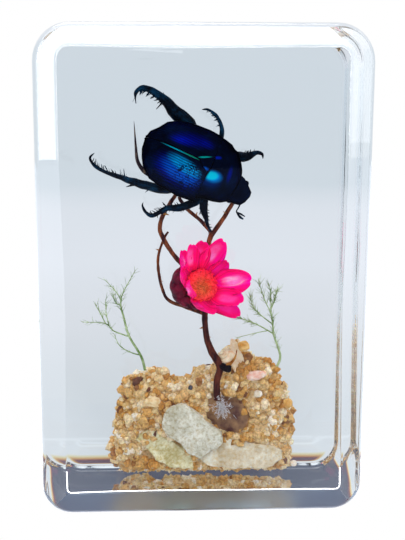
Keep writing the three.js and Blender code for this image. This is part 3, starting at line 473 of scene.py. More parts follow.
mottle = mottle_group()


def add_mottle(tree, **values):
    """Places the mottling in a material with its own values."""
    return add_node(tree, "Group", {socket.capitalize(): value for socket, value in values.items()},
                    node_tree=mottle)


def add_relief(tree, surface, source, output, strength, distance):
    """Turns a node's output into relief on a surface."""
    relief = add_node(tree, "Bump", {"Strength": strength, "Distance": distance})
    wire(tree, (source, output, relief, "Height"), (relief, "Normal", surface, "Normal"))


def add_inner_glow(surface, weight, colour_depth):
    """Gives a surface the soft inner glow of a translucent thing."""
    set_sockets(surface, {"Subsurface Weight": weight, "Subsurface Radius": colour_depth,
                          "Subsurface Scale": MM})


def waxy_stone(name, dark, light, spots):
    """A pale translucent stone: broad clouds of two tones, finer speckle and a dented waxy skin."""
    material, tree, surface = new_material(name)
    clouds = add_mottle(tree, scale=260, dark=dark, light=light, low=0.36, high=0.62)
    speckle = add_mottle(tree, scale=1500, dark=spots, light=WHITE, low=0.34, high=0.56)
    both = product(tree)
    wire(tree,
         (clouds, "Color", both, "A"),
         (speckle, "Color", both, "B"),
         (both, "Result", surface, "Base Color"))
    add_relief(tree, surface, speckle, "Height", 0.45, 0.25 * MM)
    set_sockets(surface, {"Roughness": 0.35})
    add_inner_glow(surface, 0.5, (1.6, 1.5, 1.2))
    return material


def extrude_plate(shape, rim, offset):
    """Fills a rim of vertices with a face and extrudes it by an offset into a closed plate."""
    moved = bmesh.ops.extrude_face_region(shape, geom=[shape.faces.new(rim)])["geom"]
    bmesh.ops.translate(shape, vec=offset,
                        verts=[item for item in moved if isinstance(item, bmesh.types.BMVert)])
    bmesh.ops.recalc_face_normals(shape, faces=shape.faces)


def flat_stone(outline, front, thick, seed):
    """A worn flat stone from its outline."""
    stone = bmesh.new()
    rim = []
    for (x, z), (next_x, next_z) in zip(outline, outline[1:] + outline[:1]):
        for share in (0, 0.34, 0.67):
            spot = Vector((x + (next_x - x) * share, front, z + (next_z - z) * share))
            jag = noise.noise_vector(spot * 1.1 + Vector((seed * 7, 0, 0))) * SLAB_JAG
            rim.append(stone.verts.new((spot + Vector((jag.x, 0, jag.z))) * MM))
    extrude_plate(stone, rim, (0, thick * MM, 0))
    round_rims = [edge for edge in stone.edges if abs(edge.verts[0].co.y - edge.verts[1].co.y) < 1e-7]
    bevel(stone, round_rims, SLAB_ROUND * MM, 2)
    xs = [x * MM for x, _ in outline]
    zs = [z * MM for _, z in outline]
    cut_grid(stone, 0, even_places(min(xs), max(xs), 0.4 * MM)[1:-1])
    cut_grid(stone, 2, even_places(min(zs), max(zs), 0.4 * MM)[1:-1])
    stone.normal_update()
    for vert in stone.verts:
        dent = noise.noise(vert.co * 210 + Vector((seed, 0, 0))) * 0.75
        dent -= abs(noise.noise(vert.co * 430 + Vector((0, seed, 0)))) * 0.55
        dent += noise.noise(vert.co * 1300) * 0.16
        vert.co += vert.normal * (dent - 0.2) * 0.8 * MM
    return stone


slab_materials = {
    "slab_centre": waxy_stone("pale_slab", (0.6, 0.57, 0.45, 1), (0.86, 0.84, 0.74, 1), (0.72, 0.64, 0.5, 1)),
    "slab_left": waxy_stone("olive_slab", (0.58, 0.5, 0.24, 1), (0.92, 0.87, 0.62, 1), (0.76, 0.64, 0.38, 1)),
    "slab_right": waxy_stone("cream_slab", (0.68, 0.56, 0.38, 1), (0.95, 0.9, 0.76, 1), (0.92, 0.8, 0.6, 1)),
}
for name, form in SLABS.items():
    stone = flat_stone(form["outline"], form["front"], form["thick"], form["seed"])
    finish_piece(name + "_stone", stone, [slab_materials[name]], form["slot"], name)

# ---------------------------------------------------------------------------------------------------
# The smoky stone, its crystals and the pebbles
# A lump of smoky quartz round the foot of the twig with a sugary tuft of white needles on it, and eight
# rounded pebbles glued among the grains. Each pebble is a ball, stretched, turned and dented.
# ---------------------------------------------------------------------------------------------------
PEBBLES = {
    "smoky_stone": ((7.2, 7.2, 16), (12.6, 5, 11), 7, 14, "smoky_quartz"),
    "pebble_orange": ((11.3, 6.6, 33.3), (3, 2.2, 2.6), 1, 0, "amber_pebble"),
    "pebble_pink": ((14.5, 5.4, 25.9), (5, 2.6, 2.4), 2, -12, "pink_pebble"),
    "pebble_white": ((14.9, 4.6, 21.2), (2.2, 1.8, 2), 3, 0, "pale_pebble"),
    "pebble_yellow": ((22.8, 6.2, 18.3), (2.4, 2.2, 2.5), 4, 0, "amber_pebble"),
    "pebble_cream": ((-12, 5, 19.2), (4, 2.6, 3), 5, 0, "cream_pebble"),
    "pebble_dark": ((-2.2, 5, 22.9), (1.2, 1.2, 1.1), 6, 0, "dark_pebble"),
    "pebble_brown": ((-0.1, 5, 24.5), (1.9, 1.6, 2.3), 7, 0, "brown_pebble"),
    "pebble_bead": ((24.6, 7.2, 1.9), (1.6, 1.6, 1.6), 8, 0, "pale_pebble"),
}
PEBBLE_TONES = {
    "smoky_quartz": ((0.1, 0.045, 0.04, 1), (0.5, 0.29, 0.14, 1), 170),
    "amber_pebble": ((0.6, 0.28, 0.05, 1), (0.9, 0.6, 0.25, 1), 500),
    "pink_pebble": ((0.85, 0.42, 0.3, 1), (0.95, 0.8, 0.7, 1), 700),
    "pale_pebble": ((0.7, 0.55, 0.35, 1), (0.95, 0.9, 0.8, 1), 600),
    "cream_pebble": ((0.7, 0.42, 0.16, 1), (0.95, 0.78, 0.5, 1), 500),
    "dark_pebble": ((0.02, 0.02, 0.025, 1), (0.1, 0.1, 0.12, 1), 800),
    "brown_pebble": ((0.2, 0.07, 0.02, 1), (0.5, 0.25, 0.1, 1), 700),
}
# How deep the stones are dented, where it isn't PEBBLE_DENT.
PEBBLE_DENTS = {"smoky_stone": 0.34, "pebble_pink": 0.34, "pebble_cream": 0.5}
PEBBLE_DENT = 0.2
# A tone that isn't a slot of its own takes this slot.
SLOT_OF_TONE = {"cream_pebble": "pale_pebble"}


def mottled_material(name, roughness, relief=None, inner_glow=None, metallic=0, **mottling):
    """A material mottled in two tones. Its relief is a strength and a depth, its inner glow a weight and
    how deep each colour reaches."""
    material, tree, surface = new_material(name)
    marks = add_mottle(tree, **mottling)
    wire(tree, (marks, "Color", surface, "Base Color"))
    set_sockets(surface, {"Roughness": roughness, "Metallic": metallic})
    if relief:
        add_relief(tree, surface, marks, "Height", *relief)
    if inner_glow:
        add_inner_glow(surface, *inner_glow)
    return material


pebble_materials = {
    slot: mottled_material(slot, 0.25, (0.25, 0.12 * MM), (0.3, (1.0, 0.7, 0.5)), scale=scale, dark=dark,
                           light=light)
    for slot, (dark, light, scale) in PEBBLE_TONES.items()}


def ball_stone(place, size, seed, turn, dent):
    """A pebble: a ball, stretched to its size, turned about Y and dented."""
    stone = bmesh.new()
    bmesh.ops.create_icosphere(stone, subdivisions=5 if size[0] > 8 else 4, radius=1)
    for vert in stone.verts:
        lump = noise.noise(vert.co * 1.1 + Vector((seed * 3.1, 0, 0)))
        lump += 0.4 * noise.noise(vert.co * 3.2 + Vector((0, seed * 1.7, 0)))
        flat = min(1.0, 0.93 / max(abs(vert.co.x), abs(vert.co.y), abs(vert.co.z)))
        vert.co *= flat * (1 + dent * lump)
    radii = Vector(size) / 2 * MM
    bmesh.ops.transform(stone, verts=stone.verts, matrix=Matrix.LocRotScale(
        Vector(place) * MM, Matrix.Rotation(math.radians(turn), 3, "Y").to_quaternion(), radii))
    return stone


for name, (place, size, seed, turn, slot) in PEBBLES.items():
    stone = ball_stone(place, size, seed, turn, PEBBLE_DENTS.get(name, PEBBLE_DENT))
    finish_piece(name + "_worn", stone, [pebble_materials[slot]], SLOT_OF_TONE.get(slot, slot), name)

TUFT_MIDDLE = Vector((5.7, 4.4, 17.7))
TUFT_HALF = Vector((1.9, 0.9, 2.5))
NEEDLES = 260
draw = random.Random(11)
tuft = bmesh.new()
for _ in range(NEEDLES):
    root = TUFT_MIDDLE + Vector([draw.gauss(0, 0.5) * half for half in TUFT_HALF])
    aim = Vector((draw.gauss(0, 1), draw.gauss(-0.5, 0.5), draw.gauss(0, 1))).normalized()
    length = draw.uniform(0.4, 1.3)
    middle = (root + aim * length / 2) * MM
    bmesh.ops.create_cone(tuft, cap_ends=True, segments=4, radius1=0.09 * MM, radius2=0.02 * MM,
                          depth=length * MM,
                          matrix=Matrix.LocRotScale(middle, aim.to_track_quat("Z", "Y"), None))
tuft_material = mottled_material("white_crystal", 0.15, None, (0.1, (0.5, 0.5, 0.5)), scale=900,
                                 dark=(0.75, 0.7, 0.75, 1), light=WHITE)
finish_piece("crystal_needles", tuft, [tuft_material], "white_crystal", "crystal_tuft")

# ---------------------------------------------------------------------------------------------------
# The clump of sand
# Coarse translucent grains, tan, cream and amber, glued in one clump that floats just above the block's
# foot. A lumpy core follows the clump's outline, and some thousands of grains sit on and in its surface.
# ---------------------------------------------------------------------------------------------------
SAND_MIDDLE = Vector((2.2, 10.4, 13.4))
SAND_DEPTH = 9.2
SAND_OUTLINE = [
    (25.2, 0), (25, 8), (24.8, 16.5), (24.2, 20.8), (21, 24.8), (19, 29.4), (15.2, 29), (12.8, 32.6),
    (9.6, 33.6), (6.4, 30.6), (3.2, 27.3), (-0.8, 27.2), (-2.2, 25.6), (-6.8, 25.3), (-10.5, 26.8),
    (-13.4, 26.6), (-18.8, 25), (-20.2, 20), (-22, 15.4), (-21.8, 10.2), (-24.2, 7.6), (-22.4, 2.8),
    (-20.4, -1.5), (0, -1.5)]
# The clump's underside rises towards its front: its height there, its slope and its lowest height.
UNDERSIDE = (0.9, -0.4, -1.4)
GRAIN_COUNT = 4200
GRAIN_SIZES = (0.7, 3.3, 1.2)
# Places in front of the clump that stay free of grains: x, z and half width, half height.
BARE_PLACES = [(6.2, 16.2, 4.6, 4.9), (6.6, 30.6, 2.4, 2.6), (9, 31, 1.8, 4), (14.5, 25.9, 2.3, 1),
               (-8.6, 5.8, 5.4, 3.6), (11, 4.8, 9.4, 3)]
GRAIN_BATCH = 60
# The grains' colours from pale to dark, and how far one grain's tone strays from its neighbourhood's.
GRAIN_TONES = [
    (0.0, (0.88, 0.79, 0.65, 1)), (0.16, (0.79, 0.64, 0.43, 1)), (0.32, (0.7, 0.5, 0.26, 1)),
    (0.48, (0.62, 0.38, 0.15, 1)), (0.62, (0.58, 0.32, 0.1, 1)), (0.74, (0.5, 0.24, 0.06, 1)),
    (0.84, (0.3, 0.14, 0.05, 1)), (0.94, (0.14, 0.06, 0.04, 1)), (1.0, (0.07, 0.04, 0.03, 1))]
TONE_SPREAD = 0.19
CORE_TONE = 0.3
# A painted glow in the grains' own colour, for the light that shines through the clear grains from behind.
SAND_GLOW = 0.13


def is_bare(x, z):
    """Whether a place in front of the clump stays free of grains."""
    return any(((x - middle_x) / wide) ** 2 + ((z - middle_z) / tall) ** 2 < 1
               for middle_x, middle_z, wide, tall in BARE_PLACES)


def sand_underside(y):
    """The height of the clump's underside at a depth, in millimetres."""
    high, slope, low = UNDERSIDE
    return max(low, high + slope * (y - 6))


def sand_reach(turn):
    """How far the clump reaches from its middle towards a turn in the XZ plane."""
    ray = Vector((math.cos(turn), math.sin(turn)))
    middle = Vector((SAND_MIDDLE.x, SAND_MIDDLE.z))
    reach = 0
    for start, end in zip(SAND_OUTLINE, SAND_OUTLINE[1:] + SAND_OUTLINE[:1]):
        start = Vector(start) - middle
        along = Vector(end) - middle - start
        across = ray.cross(along)
        if abs(across) < 1e-9:
            continue
        distance = start.cross(along) / across
        share = start.cross(ray) / across
        if distance > 0 and 0 <= share <= 1:
            reach = max(reach, distance)
    return reach


def sand_surface(point):
    """Moves a point of the unit ball onto the clump's lumpy surface, in millimetres."""
    turn = math.atan2(point.z, point.x)
    ring = math.hypot(point.x, point.z)
    reach = (sand_reach(turn) - 1.1) * ring ** 0.5
    depth = SAND_DEPTH / 2 * math.copysign(abs(point.y) ** 0.7, point.y)
    placed = SAND_MIDDLE + Vector((reach * math.cos(turn), depth, reach * math.sin(turn)))
    placed.y += 1.6 * noise.noise(placed * 0.2) + 1.2 * noise.noise(placed * 0.45)
    swell = 1.9 * noise.noise(placed * 0.3 + Vector((5, 0, 0))) + 1.3 * noise.noise(placed * 0.8) - 0.5
    placed += Vector((math.cos(turn), 0, math.sin(turn))) * swell * ring
    if placed.y < SAND_MIDDLE.y and is_bare(placed.x, placed.z):
        placed.y += 1.3
    placed.z = max(sand_underside(placed.y) + 0.4, placed.z)
    return placed


sand = bmesh.new()
tone = sand.verts.layers.float.new("tone")
bmesh.ops.create_uvsphere(sand, u_segments=72, v_segments=36, radius=1,
                          matrix=Matrix.Rotation(math.pi / 2, 4, "X"))
for vert in sand.verts:
    vert.co = sand_surface(vert.co) * MM
    vert[tone] = CORE_TONE
# The faces come in another order at each run, so they are sorted by their place before the draws.
sand_faces = sorted(sand.faces, key=lambda face: [round(value, 7) for value in face.calc_center_median()])
face_sizes = [face.calc_area() for face in sand_faces]
grain_beds = []
for face in draw.choices(sand_faces, weights=face_sizes, k=GRAIN_COUNT):
    corner, side, far = sorted((vert.co for vert in face.verts), key=tuple)[:3]
    bed = corner.lerp(side, draw.random()).lerp(far, draw.random() * 0.6)
    if bed.y < SAND_MIDDLE.y * MM and is_bare(bed.x / MM, bed.z / MM):
        continue
    grain_beds.append((bed.copy(), face.normal.copy()))
for first in range(0, len(grain_beds), GRAIN_BATCH):
    batch = bmesh.new()
    batch_tone = batch.verts.layers.float.new("tone")
    for bed, outward in grain_beds[first:first + GRAIN_BATCH]:
        warmth = 0.4 + 0.42 * noise.noise(bed * 150 + Vector((3, 0, 0)))
        size = draw.triangular(*GRAIN_SIZES) * MM
        lift = draw.uniform(-0.3, 0.5) * MM + 1.1 * MM * noise.noise(bed * 240)
        at = bed + outward * lift
        at.z = max(at.z, sand_underside(at.y / MM) * MM + size / 2)
        spin = Quaternion((draw.gauss(0, 1), draw.gauss(0, 1), draw.gauss(0, 1), draw.gauss(0, 1)))
        form = Vector([size / 2 * draw.uniform(0.75, 1.25) for _ in range(3)])
        grain = bmesh.ops.create_icosphere(batch, subdivisions=1, radius=1,
                                           matrix=Matrix.LocRotScale(at, spin.normalized(), form))["verts"]
        shade = min(0.95, max(0, draw.gauss(warmth, TONE_SPREAD)))
        for vert in grain:
            vert.co += (vert.co - at) * draw.uniform(-0.34, 0.3)
            vert[batch_tone] = shade
    join_into(sand, batch)
bmesh.ops.recalc_face_normals(sand, faces=sand.faces)

sand_material, sand_tree, sand_coat = new_material("sand_grains")
tone_of_grain = add_node(sand_tree, "Attribute", attribute_name="tone")
grain_tones = ramp(sand_tree, GRAIN_TONES)
grain_marks = add_mottle(sand_tree, scale=1500, dark=(0.62, 0.58, 0.52, 1), light=(1.25, 1.22, 1.18, 1))
grain_shade = product(sand_tree)
wire(sand_tree,
     (tone_of_grain, "Fac", grain_tones, "Fac"),
     (grain_tones, "Color", grain_shade, "A"),
     (grain_marks, "Color", grain_shade, "B"),
     (grain_shade, "Result", sand_coat, "Base Color"),
     (grain_shade, "Result", sand_coat, "Emission Color"))
add_relief(sand_tree, sand_coat, grain_marks, "Height", 0.4, 0.1 * MM)
# The grains give off the painted glow in their own colour.
set_sockets(sand_coat, {"Roughness": 0.3, "Emission Strength": SAND_GLOW})
add_inner_glow(sand_coat, 0.6, (1.6, 1.0, 0.5))
finish_piece("sand_clump", sand, [sand_material], "sand", "sand_base")

# ---------------------------------------------------------------------------------------------------
# The turban shell and the flake behind it
# A cream shell that winds up to a point, made by carrying a growing ring round a spiral, and a broken
# flake of another shell, a cupped sheet with its own thickness.
# ---------------------------------------------------------------------------------------------------
SHELL_MIDDLE = Vector((6.7, 5.6, 30.7))
SHELL_AXIS = Vector((-0.656, -0.469, 0.591))
SHELL_TURNS = 3.3
SHELL_STEPS = 90


def sweep(shape, path, radii, sides, squash=1.0):
    """Carries a ring along the path, its radius running evenly through the radii, and closes both ends."""
    turn = None
    heading = None
    last = None
    for i, point in enumerate(path):
        ahead = (path[min(i + 1, len(path) - 1)] - path[max(i - 1, 0)]).normalized()
        if turn is None:
            turn = ahead.to_track_quat("Z", "Y")
        else:
            turn = heading.rotation_difference(ahead) @ turn
        heading = ahead
        along = i / (len(path) - 1) * (len(radii) - 1)
        step = min(int(along), len(radii) - 2)
        radius = radii[step] + (radii[step + 1] - radii[step]) * (along - step)
        ring = bmesh.ops.create_circle(
            shape, segments=sides, radius=1,
            matrix=Matrix.LocRotScale(point, turn, Vector((radius, radius * squash, radius))))["verts"]
        edges = list({edge for vert in ring for edge in vert.link_edges})
        if last is None:
            bmesh.ops.edgeloop_fill(shape, edges=edges)
        else:
            bmesh.ops.bridge_loops(shape, edges=last + edges)
        last = edges
    bmesh.ops.edgeloop_fill(shape, edges=last)


turn_to_axis = SHELL_AXIS.normalized().to_track_quat("Z", "Y")
spiral = []
spiral_radii = []
for i in range(SHELL_STEPS + 1):
    grown = (i + 6) / (SHELL_STEPS + 6)
    angle = grown * SHELL_TURNS * math.tau
    size = grown ** 1.5
    ring_place = Vector((math.cos(angle) * 1.15 * size, math.sin(angle) * 1.15 * size, 2.5 - 3.4 * size))
    spiral.append((SHELL_MIDDLE + turn_to_axis @ ring_place) * MM)
    spiral_radii.append((0.08 + 1.12 * size) * MM)
snail = bmesh.new()
sweep(snail, spiral, spiral_radii, 16)
bmesh.ops.recalc_face_normals(snail, faces=snail.faces)
shell_material = mottled_material("cream_shell", 0.3, (0.2, 0.1 * MM), (0.2, (0.8, 0.6, 0.4)), scale=450,
                                  dark=(0.72, 0.36, 0.13, 1), light=(0.95, 0.8, 0.58, 1), low=0.3, high=0.55)
finish_piece("turban_shell", snail, [shell_material], "shell", "snail_shell")


def sheet_piece(base, tip, facing, width, outline, relief, rows=22, columns=14):
    """A leaf-like sheet from base to tip with its UV across and along. Its outline gives the half width
    and the reach at each place, and its relief the height towards the facing side, in millimetres."""
    base, tip = Vector(base), Vector(tip)
    length = (tip - base).length
    along = (tip - base).normalized()
    upward = Vector(facing)
    upward = (upward - along * upward.dot(along)).normalized()
    side = along.cross(upward)
    sheet = bmesh.new()
    uv = sheet.loops.layers.uv.new("UVMap")
    bmesh.ops.create_grid(sheet, x_segments=columns, y_segments=rows, size=1)
    for face in sheet.faces:
        for loop in face.loops:
            loop[uv].uv = ((loop.vert.co.x + 1) / 2, (loop.vert.co.y + 1) / 2)
    for vert in sheet.verts:
        u, v = vert.co.x, (vert.co.y + 1) / 2
        half, reach = outline(u, v)
        place = base + along * (length * v * reach) + side * (u * half * width / 2)
        vert.co = (place + upward * relief(u, v)) * MM
    return sheet


def thicken(shape, thickness):
    """Gives a sheet its thickness and turns its faces outwards."""
    bmesh.ops.solidify(shape, geom=shape.faces[:], thickness=thickness)
    bmesh.ops.recalc_face_normals(shape, faces=shape.faces)


flake = sheet_piece(
    (10.1, 6.8, 27.2), (8.2, 6.4, 35.2), (0.35, -1, 0), 3.6,
    lambda u, v: (0.55 + 0.45 * math.sin(math.pi * min(1, v + 0.15)), 1 - 0.15 * u * u),
    lambda u, v: 0.7 * u * u - 0.3 * math.sin(math.pi * v) + 0.12 * noise.noise(Vector((u * 2, v * 3, 0))))
thicken(flake, 0.35 * MM)
finish_piece("shell_chip", flake, [shell_material], "shell", "shell_flake")

# ---------------------------------------------------------------------------------------------------
# The thorny twig
# Red-brown bark with golden streaks. The trunk stands in the sand and forks behind the flower, and its
# arms reach up under the beetle. Rings run along each route, and each thorn is a curved tapering spike.
# ---------------------------------------------------------------------------------------------------
TWIG_ROUTES = {
    "twig_trunk": (
        [(4.5, 5, 19.6), (4.5, 5, 24.8), (5.2, 5, 28.3), (3.2, 5.5, 32), (2, 6, 35.2), (1.5, 6.3, 38.8),
         (1.5, 7, 41.8), (2.1, 9.2, 45.4), (1.8, 11.2, 48.6), (1.5, 11.8, 50.4)],
        [0.85, 0.85, 1.0, 0.8, 0.72, 0.74, 0.82, 0.72]),
    "twig_left_loop": (
        [(1.5, 7, 41.6), (-3.5, 8.8, 43.1), (-6.8, 10, 44.1), (-8.5, 10, 45.7), (-9.8, 10, 49.8),
         (-10.3, 10, 54.4), (-9.8, 10, 57.5), (-8.7, 11, 60.4), (-7.7, 11.2, 62)],
        [0.6, 0.5, 0.42, 0.4, 0.38, 0.36, 0.3, 0.26]),
    "twig_left_branch": (
        [(1.6, 11.7, 50), (-2.2, 11.2, 52), (-4.8, 9.6, 54.5), (-7.3, 8.7, 57.7), (-9, 8.5, 60.7),
         (-9.8, 8.6, 63.2), (-9, 9, 66.4), (-7.3, 9.4, 69.2), (-5.8, 9.6, 71.4)],
        [0.62, 0.6, 0.58, 0.6, 0.56, 0.55, 0.5]),
    "twig_right_stem": (
        [(1.5, 11.8, 50), (2, 10.4, 54.4), (2.3, 8.8, 58.6), (3.1, 7.7, 62)], [0.64, 0.62, 0.68]),
    "twig_right_arm": (
        [(2.9, 7.8, 61.2), (5.7, 8, 65.2), (7.7, 8.6, 68.4), (8.9, 8.8, 70.2)], [0.66, 0.55, 0.55, 0.5]),
    "twig_cross_arm": (
        [(3.3, 7.8, 61.8), (0.2, 8.6, 65.2), (-2.8, 9.2, 67.7), (-4.5, 9.9, 69.9), (-4.9, 10.4, 70.9)],
        [0.52, 0.46, 0.46, 0.42]),
}
# Each thorn: its points from root to tip, and its root's radius.
THORNS = {
    "twig_trunk": [
        ([(7, 4.2, 28.7), (8.3, 3.9, 29.9), (9.1, 3.6, 31.5), (9.3, 3.4, 33)], 0.62),
        ([(1.5, 6.2, 38.3), (0.9, 6.1, 38.2), (-0.1, 6, 37.9)], 0.6),
        ([(1.6, 6.3, 36.2), (2.3, 5.9, 36), (2.9, 5.6, 35.7)], 0.4)],
    "twig_left_loop": [
        ([(-9.9, 10, 57.4), (-10.4, 9.8, 57.6), (-11.1, 9.6, 57.9)], 0.34),
        ([(-9.8, 10, 49.8), (-9.4, 9.8, 49.6), (-8.9, 9.6, 49.4)], 0.3)],
    "twig_left_branch": [
        ([(-8.9, 8.9, 66.6), (-8.2, 8.7, 66.7), (-7.4, 8.6, 66.4)], 0.5),
        ([(-9.1, 8.5, 61), (-9.6, 8.3, 61.4), (-10, 8.2, 61.9)], 0.36)],
    "twig_right_stem": [([(2.2, 9.2, 57.8), (2.8, 8.9, 57.9), (3.4, 8.6, 58.1)], 0.42)],
    "twig_right_arm": [([(6.7, 8.2, 66.8), (6.3, 7.9, 67.1), (5.9, 7.6, 67.5)], 0.4)],
    "twig_cross_arm": [([(-0.8, 8.8, 66.1), (-0.7, 8.6, 66.6), (-0.5, 8.3, 67.2)], 0.38)],
}
# The black stub that the trunk's big thorn grows from: its points from root to tip, and its radii.
KNOT = ([(5.2, 5, 28.6), (6.6, 4.3, 28.1), (7.5, 3.9, 28), (8, 3.8, 28)], [0.9, 0.95, 1.05, 0.6])
THORN_TAPER = (1, 0.55, 0.32, 0.06)


def smooth_path(points, per_span):
    """Points in metres along a smooth curve through the given ones in millimetres."""
    points = [Vector(point) * MM for point in points]
    path = []
    for i, (start, end) in enumerate(zip(points, points[1:])):
        before = points[max(i - 1, 0)]
        after = points[min(i + 2, len(points) - 1)]
        path += interpolate_bezier(start, start + (end - before) / 6, end - (after - start) / 6, end,
                                   per_span + 1)[:-1]
    return path + [points[-1]]


def bark_finish(name, dark, light):
    """Streaky bark between two tones."""
    return mottled_material(name, 0.42, (0.5, 0.12 * MM), scale=900, stretch=(1, 1, 0.22), dark=dark,
                            light=light, low=0.38, high=0.7)


branch_bark = bark_finish("bark", (0.045, 0.009, 0.01, 1), (0.4, 0.115, 0.035, 1))
trunk_bark = bark_finish("dark_bark", (0.02, 0.004, 0.008, 1), (0.2, 0.045, 0.02, 1))
knot_bark = bark_finish("knot_bark", (0.001, 0.001, 0.002, 1), (0.02, 0.008, 0.01, 1))
thorn_material = mottled_material("thorn", 0.35, scale=700, dark=(0.3, 0.08, 0.01, 1),
                                  light=(0.7, 0.33, 0.07, 1))

for name, (points, radii) in TWIG_ROUTES.items():
    twig = bmesh.new()
    sweep(twig, smooth_path(points, 9), [radius * MM for radius in radii], 14)
    wood_faces = set(twig.faces)
    for thorn_points, root in THORNS[name]:
        sweep(twig, smooth_path(thorn_points, 5), [root * MM * share for share in THORN_TAPER], 8)
    thorn_faces = set(twig.faces) - wood_faces
    if name == "twig_trunk":
        sweep(twig, smooth_path(KNOT[0], 4), [radius * MM for radius in KNOT[1]], 14)
    for face in twig.faces:
        face.material_index = 0 if face in wood_faces else 1 if face in thorn_faces else 2
    bmesh.ops.recalc_face_normals(twig, faces=twig.faces)
    twig.normal_update()
    for vert in twig.verts:
        vert.co += vert.normal * 0.09 * MM * noise.noise(vert.co * 900)
    wood = trunk_bark if name == "twig_trunk" else branch_bark
    finish_piece(name + "_bark", twig, [wood, thorn_material, knot_bark], "bark", name)

# ---------------------------------------------------------------------------------------------------
# The two sprigs
# Dry grey-green stems thinner than a millimetre, with fine thread-like leaflets standing out of them in
# small tufts. Rings run along each stem, and each leaflet is a thin three-sided spike.
# ---------------------------------------------------------------------------------------------------
SPRIG_STEMS = {
    "sprig_left": [
        ([(-13.7, 9, 26.6), (-14.7, 9, 30.3), (-17.7, 9, 35.6), (-19, 9, 40.5), (-19.7, 9, 43.6),
          (-19.2, 9, 46.5), (-16.1, 9, 52.3)], 0.36, 0.3),
        ([(-19.6, 9, 44.4), (-20.5, 9, 46.5), (-23.3, 9, 49.8)], 0.18, 0.25),
        ([(-19.6, 9, 43.4), (-20.9, 9, 44.2), (-21.6, 9, 46)], 0.18, 0.3),
        ([(-17.6, 9, 35.4), (-21.5, 9, 36.9), (-23.7, 9, 38.9), (-29.4, 9, 39.3)], 0.2, 0.3),
        ([(-23.5, 9, 38.7), (-24.6, 8.8, 41), (-25.8, 8.6, 43.4)], 0.16, 0.3),
        ([(-22.6, 9, 38), (-23.4, 9.2, 41.4), (-23.5, 9.4, 45)], 0.16, 0.3),
        ([(-14.9, 9, 30.6), (-17, 9, 31.2), (-20, 9, 33), (-21.5, 9, 36.2)], 0.18, 0.1)],
    "sprig_right": [
        ([(18.3, 9, 24.2), (20.4, 9, 27.9), (20.9, 9, 30), (20.3, 9, 32.4), (19.2, 9, 35.6), (18.8, 9, 39),
          (18.4, 9, 41.5), (18.3, 9, 45.3), (17.8, 9, 48.6)], 0.36, 0.5),
        ([(19.2, 9, 35.8), (15.1, 9, 38.2), (12.4, 9, 39.3), (10.6, 9, 40)], 0.2, 0.6),
        ([(17.6, 9, 36.7), (14.3, 8.8, 36.1), (9.7, 8.6, 35)], 0.13, 0.1),
        ([(18.8, 9, 38.4), (16.2, 9.2, 40.4), (14, 9.2, 42.6), (13, 9.2, 45.5)], 0.18, 0.8),
        ([(18.4, 9, 41.2), (16.6, 8.8, 45), (15.2, 8.6, 49)], 0.16, 0.8),
        ([(18.4, 9, 42.4), (19.3, 9.2, 44.6), (19.8, 9.4, 46.8)], 0.16, 0.8)],
}

leaf_material = mottled_material("sprig_green", 0.6, scale=380, dark=(0.2, 0.32, 0.1, 1),
                                 light=(0.62, 0.76, 0.42, 1), low=0.36, high=0.62)

for name, stems in SPRIG_STEMS.items():
    sprig = bmesh.new()
    for stem_points, root, crowd in stems:
        path = smooth_path(stem_points, 6)
        sweep(sprig, path, [root * MM, root * 0.75 * MM, 0.07 * MM], 7)
        leaf_paths = path[len(path) // 3:]
        for i, point in enumerate(leaf_paths):
            ahead = (leaf_paths[min(i + 1, len(leaf_paths) - 1)] - leaf_paths[max(i - 1, 0)]).normalized()
            for _ in range(round(crowd * 9 * (0.4 + 0.6 * draw.random()))):
                turn = draw.uniform(0, math.tau)
                out = Vector((math.cos(turn), 0.35 * math.sin(turn), 0.7 * math.sin(turn)))
                aim = (ahead * draw.uniform(0.6, 1.4) + out * draw.uniform(0.4, 1.0)).normalized()
                length = draw.uniform(0.6, 2.6) * MM
                middle = point + aim * length / 2
                bmesh.ops.create_cone(sprig, cap_ends=True, segments=3, radius1=0.075 * MM,
                                      radius2=0.03 * MM, depth=length,
                                      matrix=Matrix.LocRotScale(middle, aim.to_track_quat("Z", "Y"), None))
    bmesh.ops.recalc_face_normals(sprig, faces=sprig.faces)
    finish_piece(name + "_leaves", sprig, [leaf_material], "sprig", name)

# ---------------------------------------------------------------------------------------------------
# The flower
# A pink everlasting with a raised red-orange disc of curling florets, a dark cup of overlapping bracts
# behind it and eleven cupped petals. Each petal is a sheet with its own outline, folds and thickness.
# ---------------------------------------------------------------------------------------------------
FLOWER_CENTRE = Vector((0.7, 1, 49.9))
FLOWER_AXIS = Vector((0.458, -0.865, 0.204)).normalized()
DISC_RADIUS = 4.3
flower_right = (Vector((1, 0, 0)) - FLOWER_AXIS * FLOWER_AXIS.x).normalized()
flower_up = FLOWER_AXIS.cross(flower_right)


def flower_point(ahead, out, degrees):
    """A point of the flower: so far in front of the disc, and out from its axis at an angle."""
    turn = math.radians(degrees)
    return (FLOWER_CENTRE + FLOWER_AXIS * ahead + flower_right * out * math.cos(turn)
            + flower_up * out * math.sin(turn))


FLORETS = 230
GOLDEN_ANGLE = 137.508
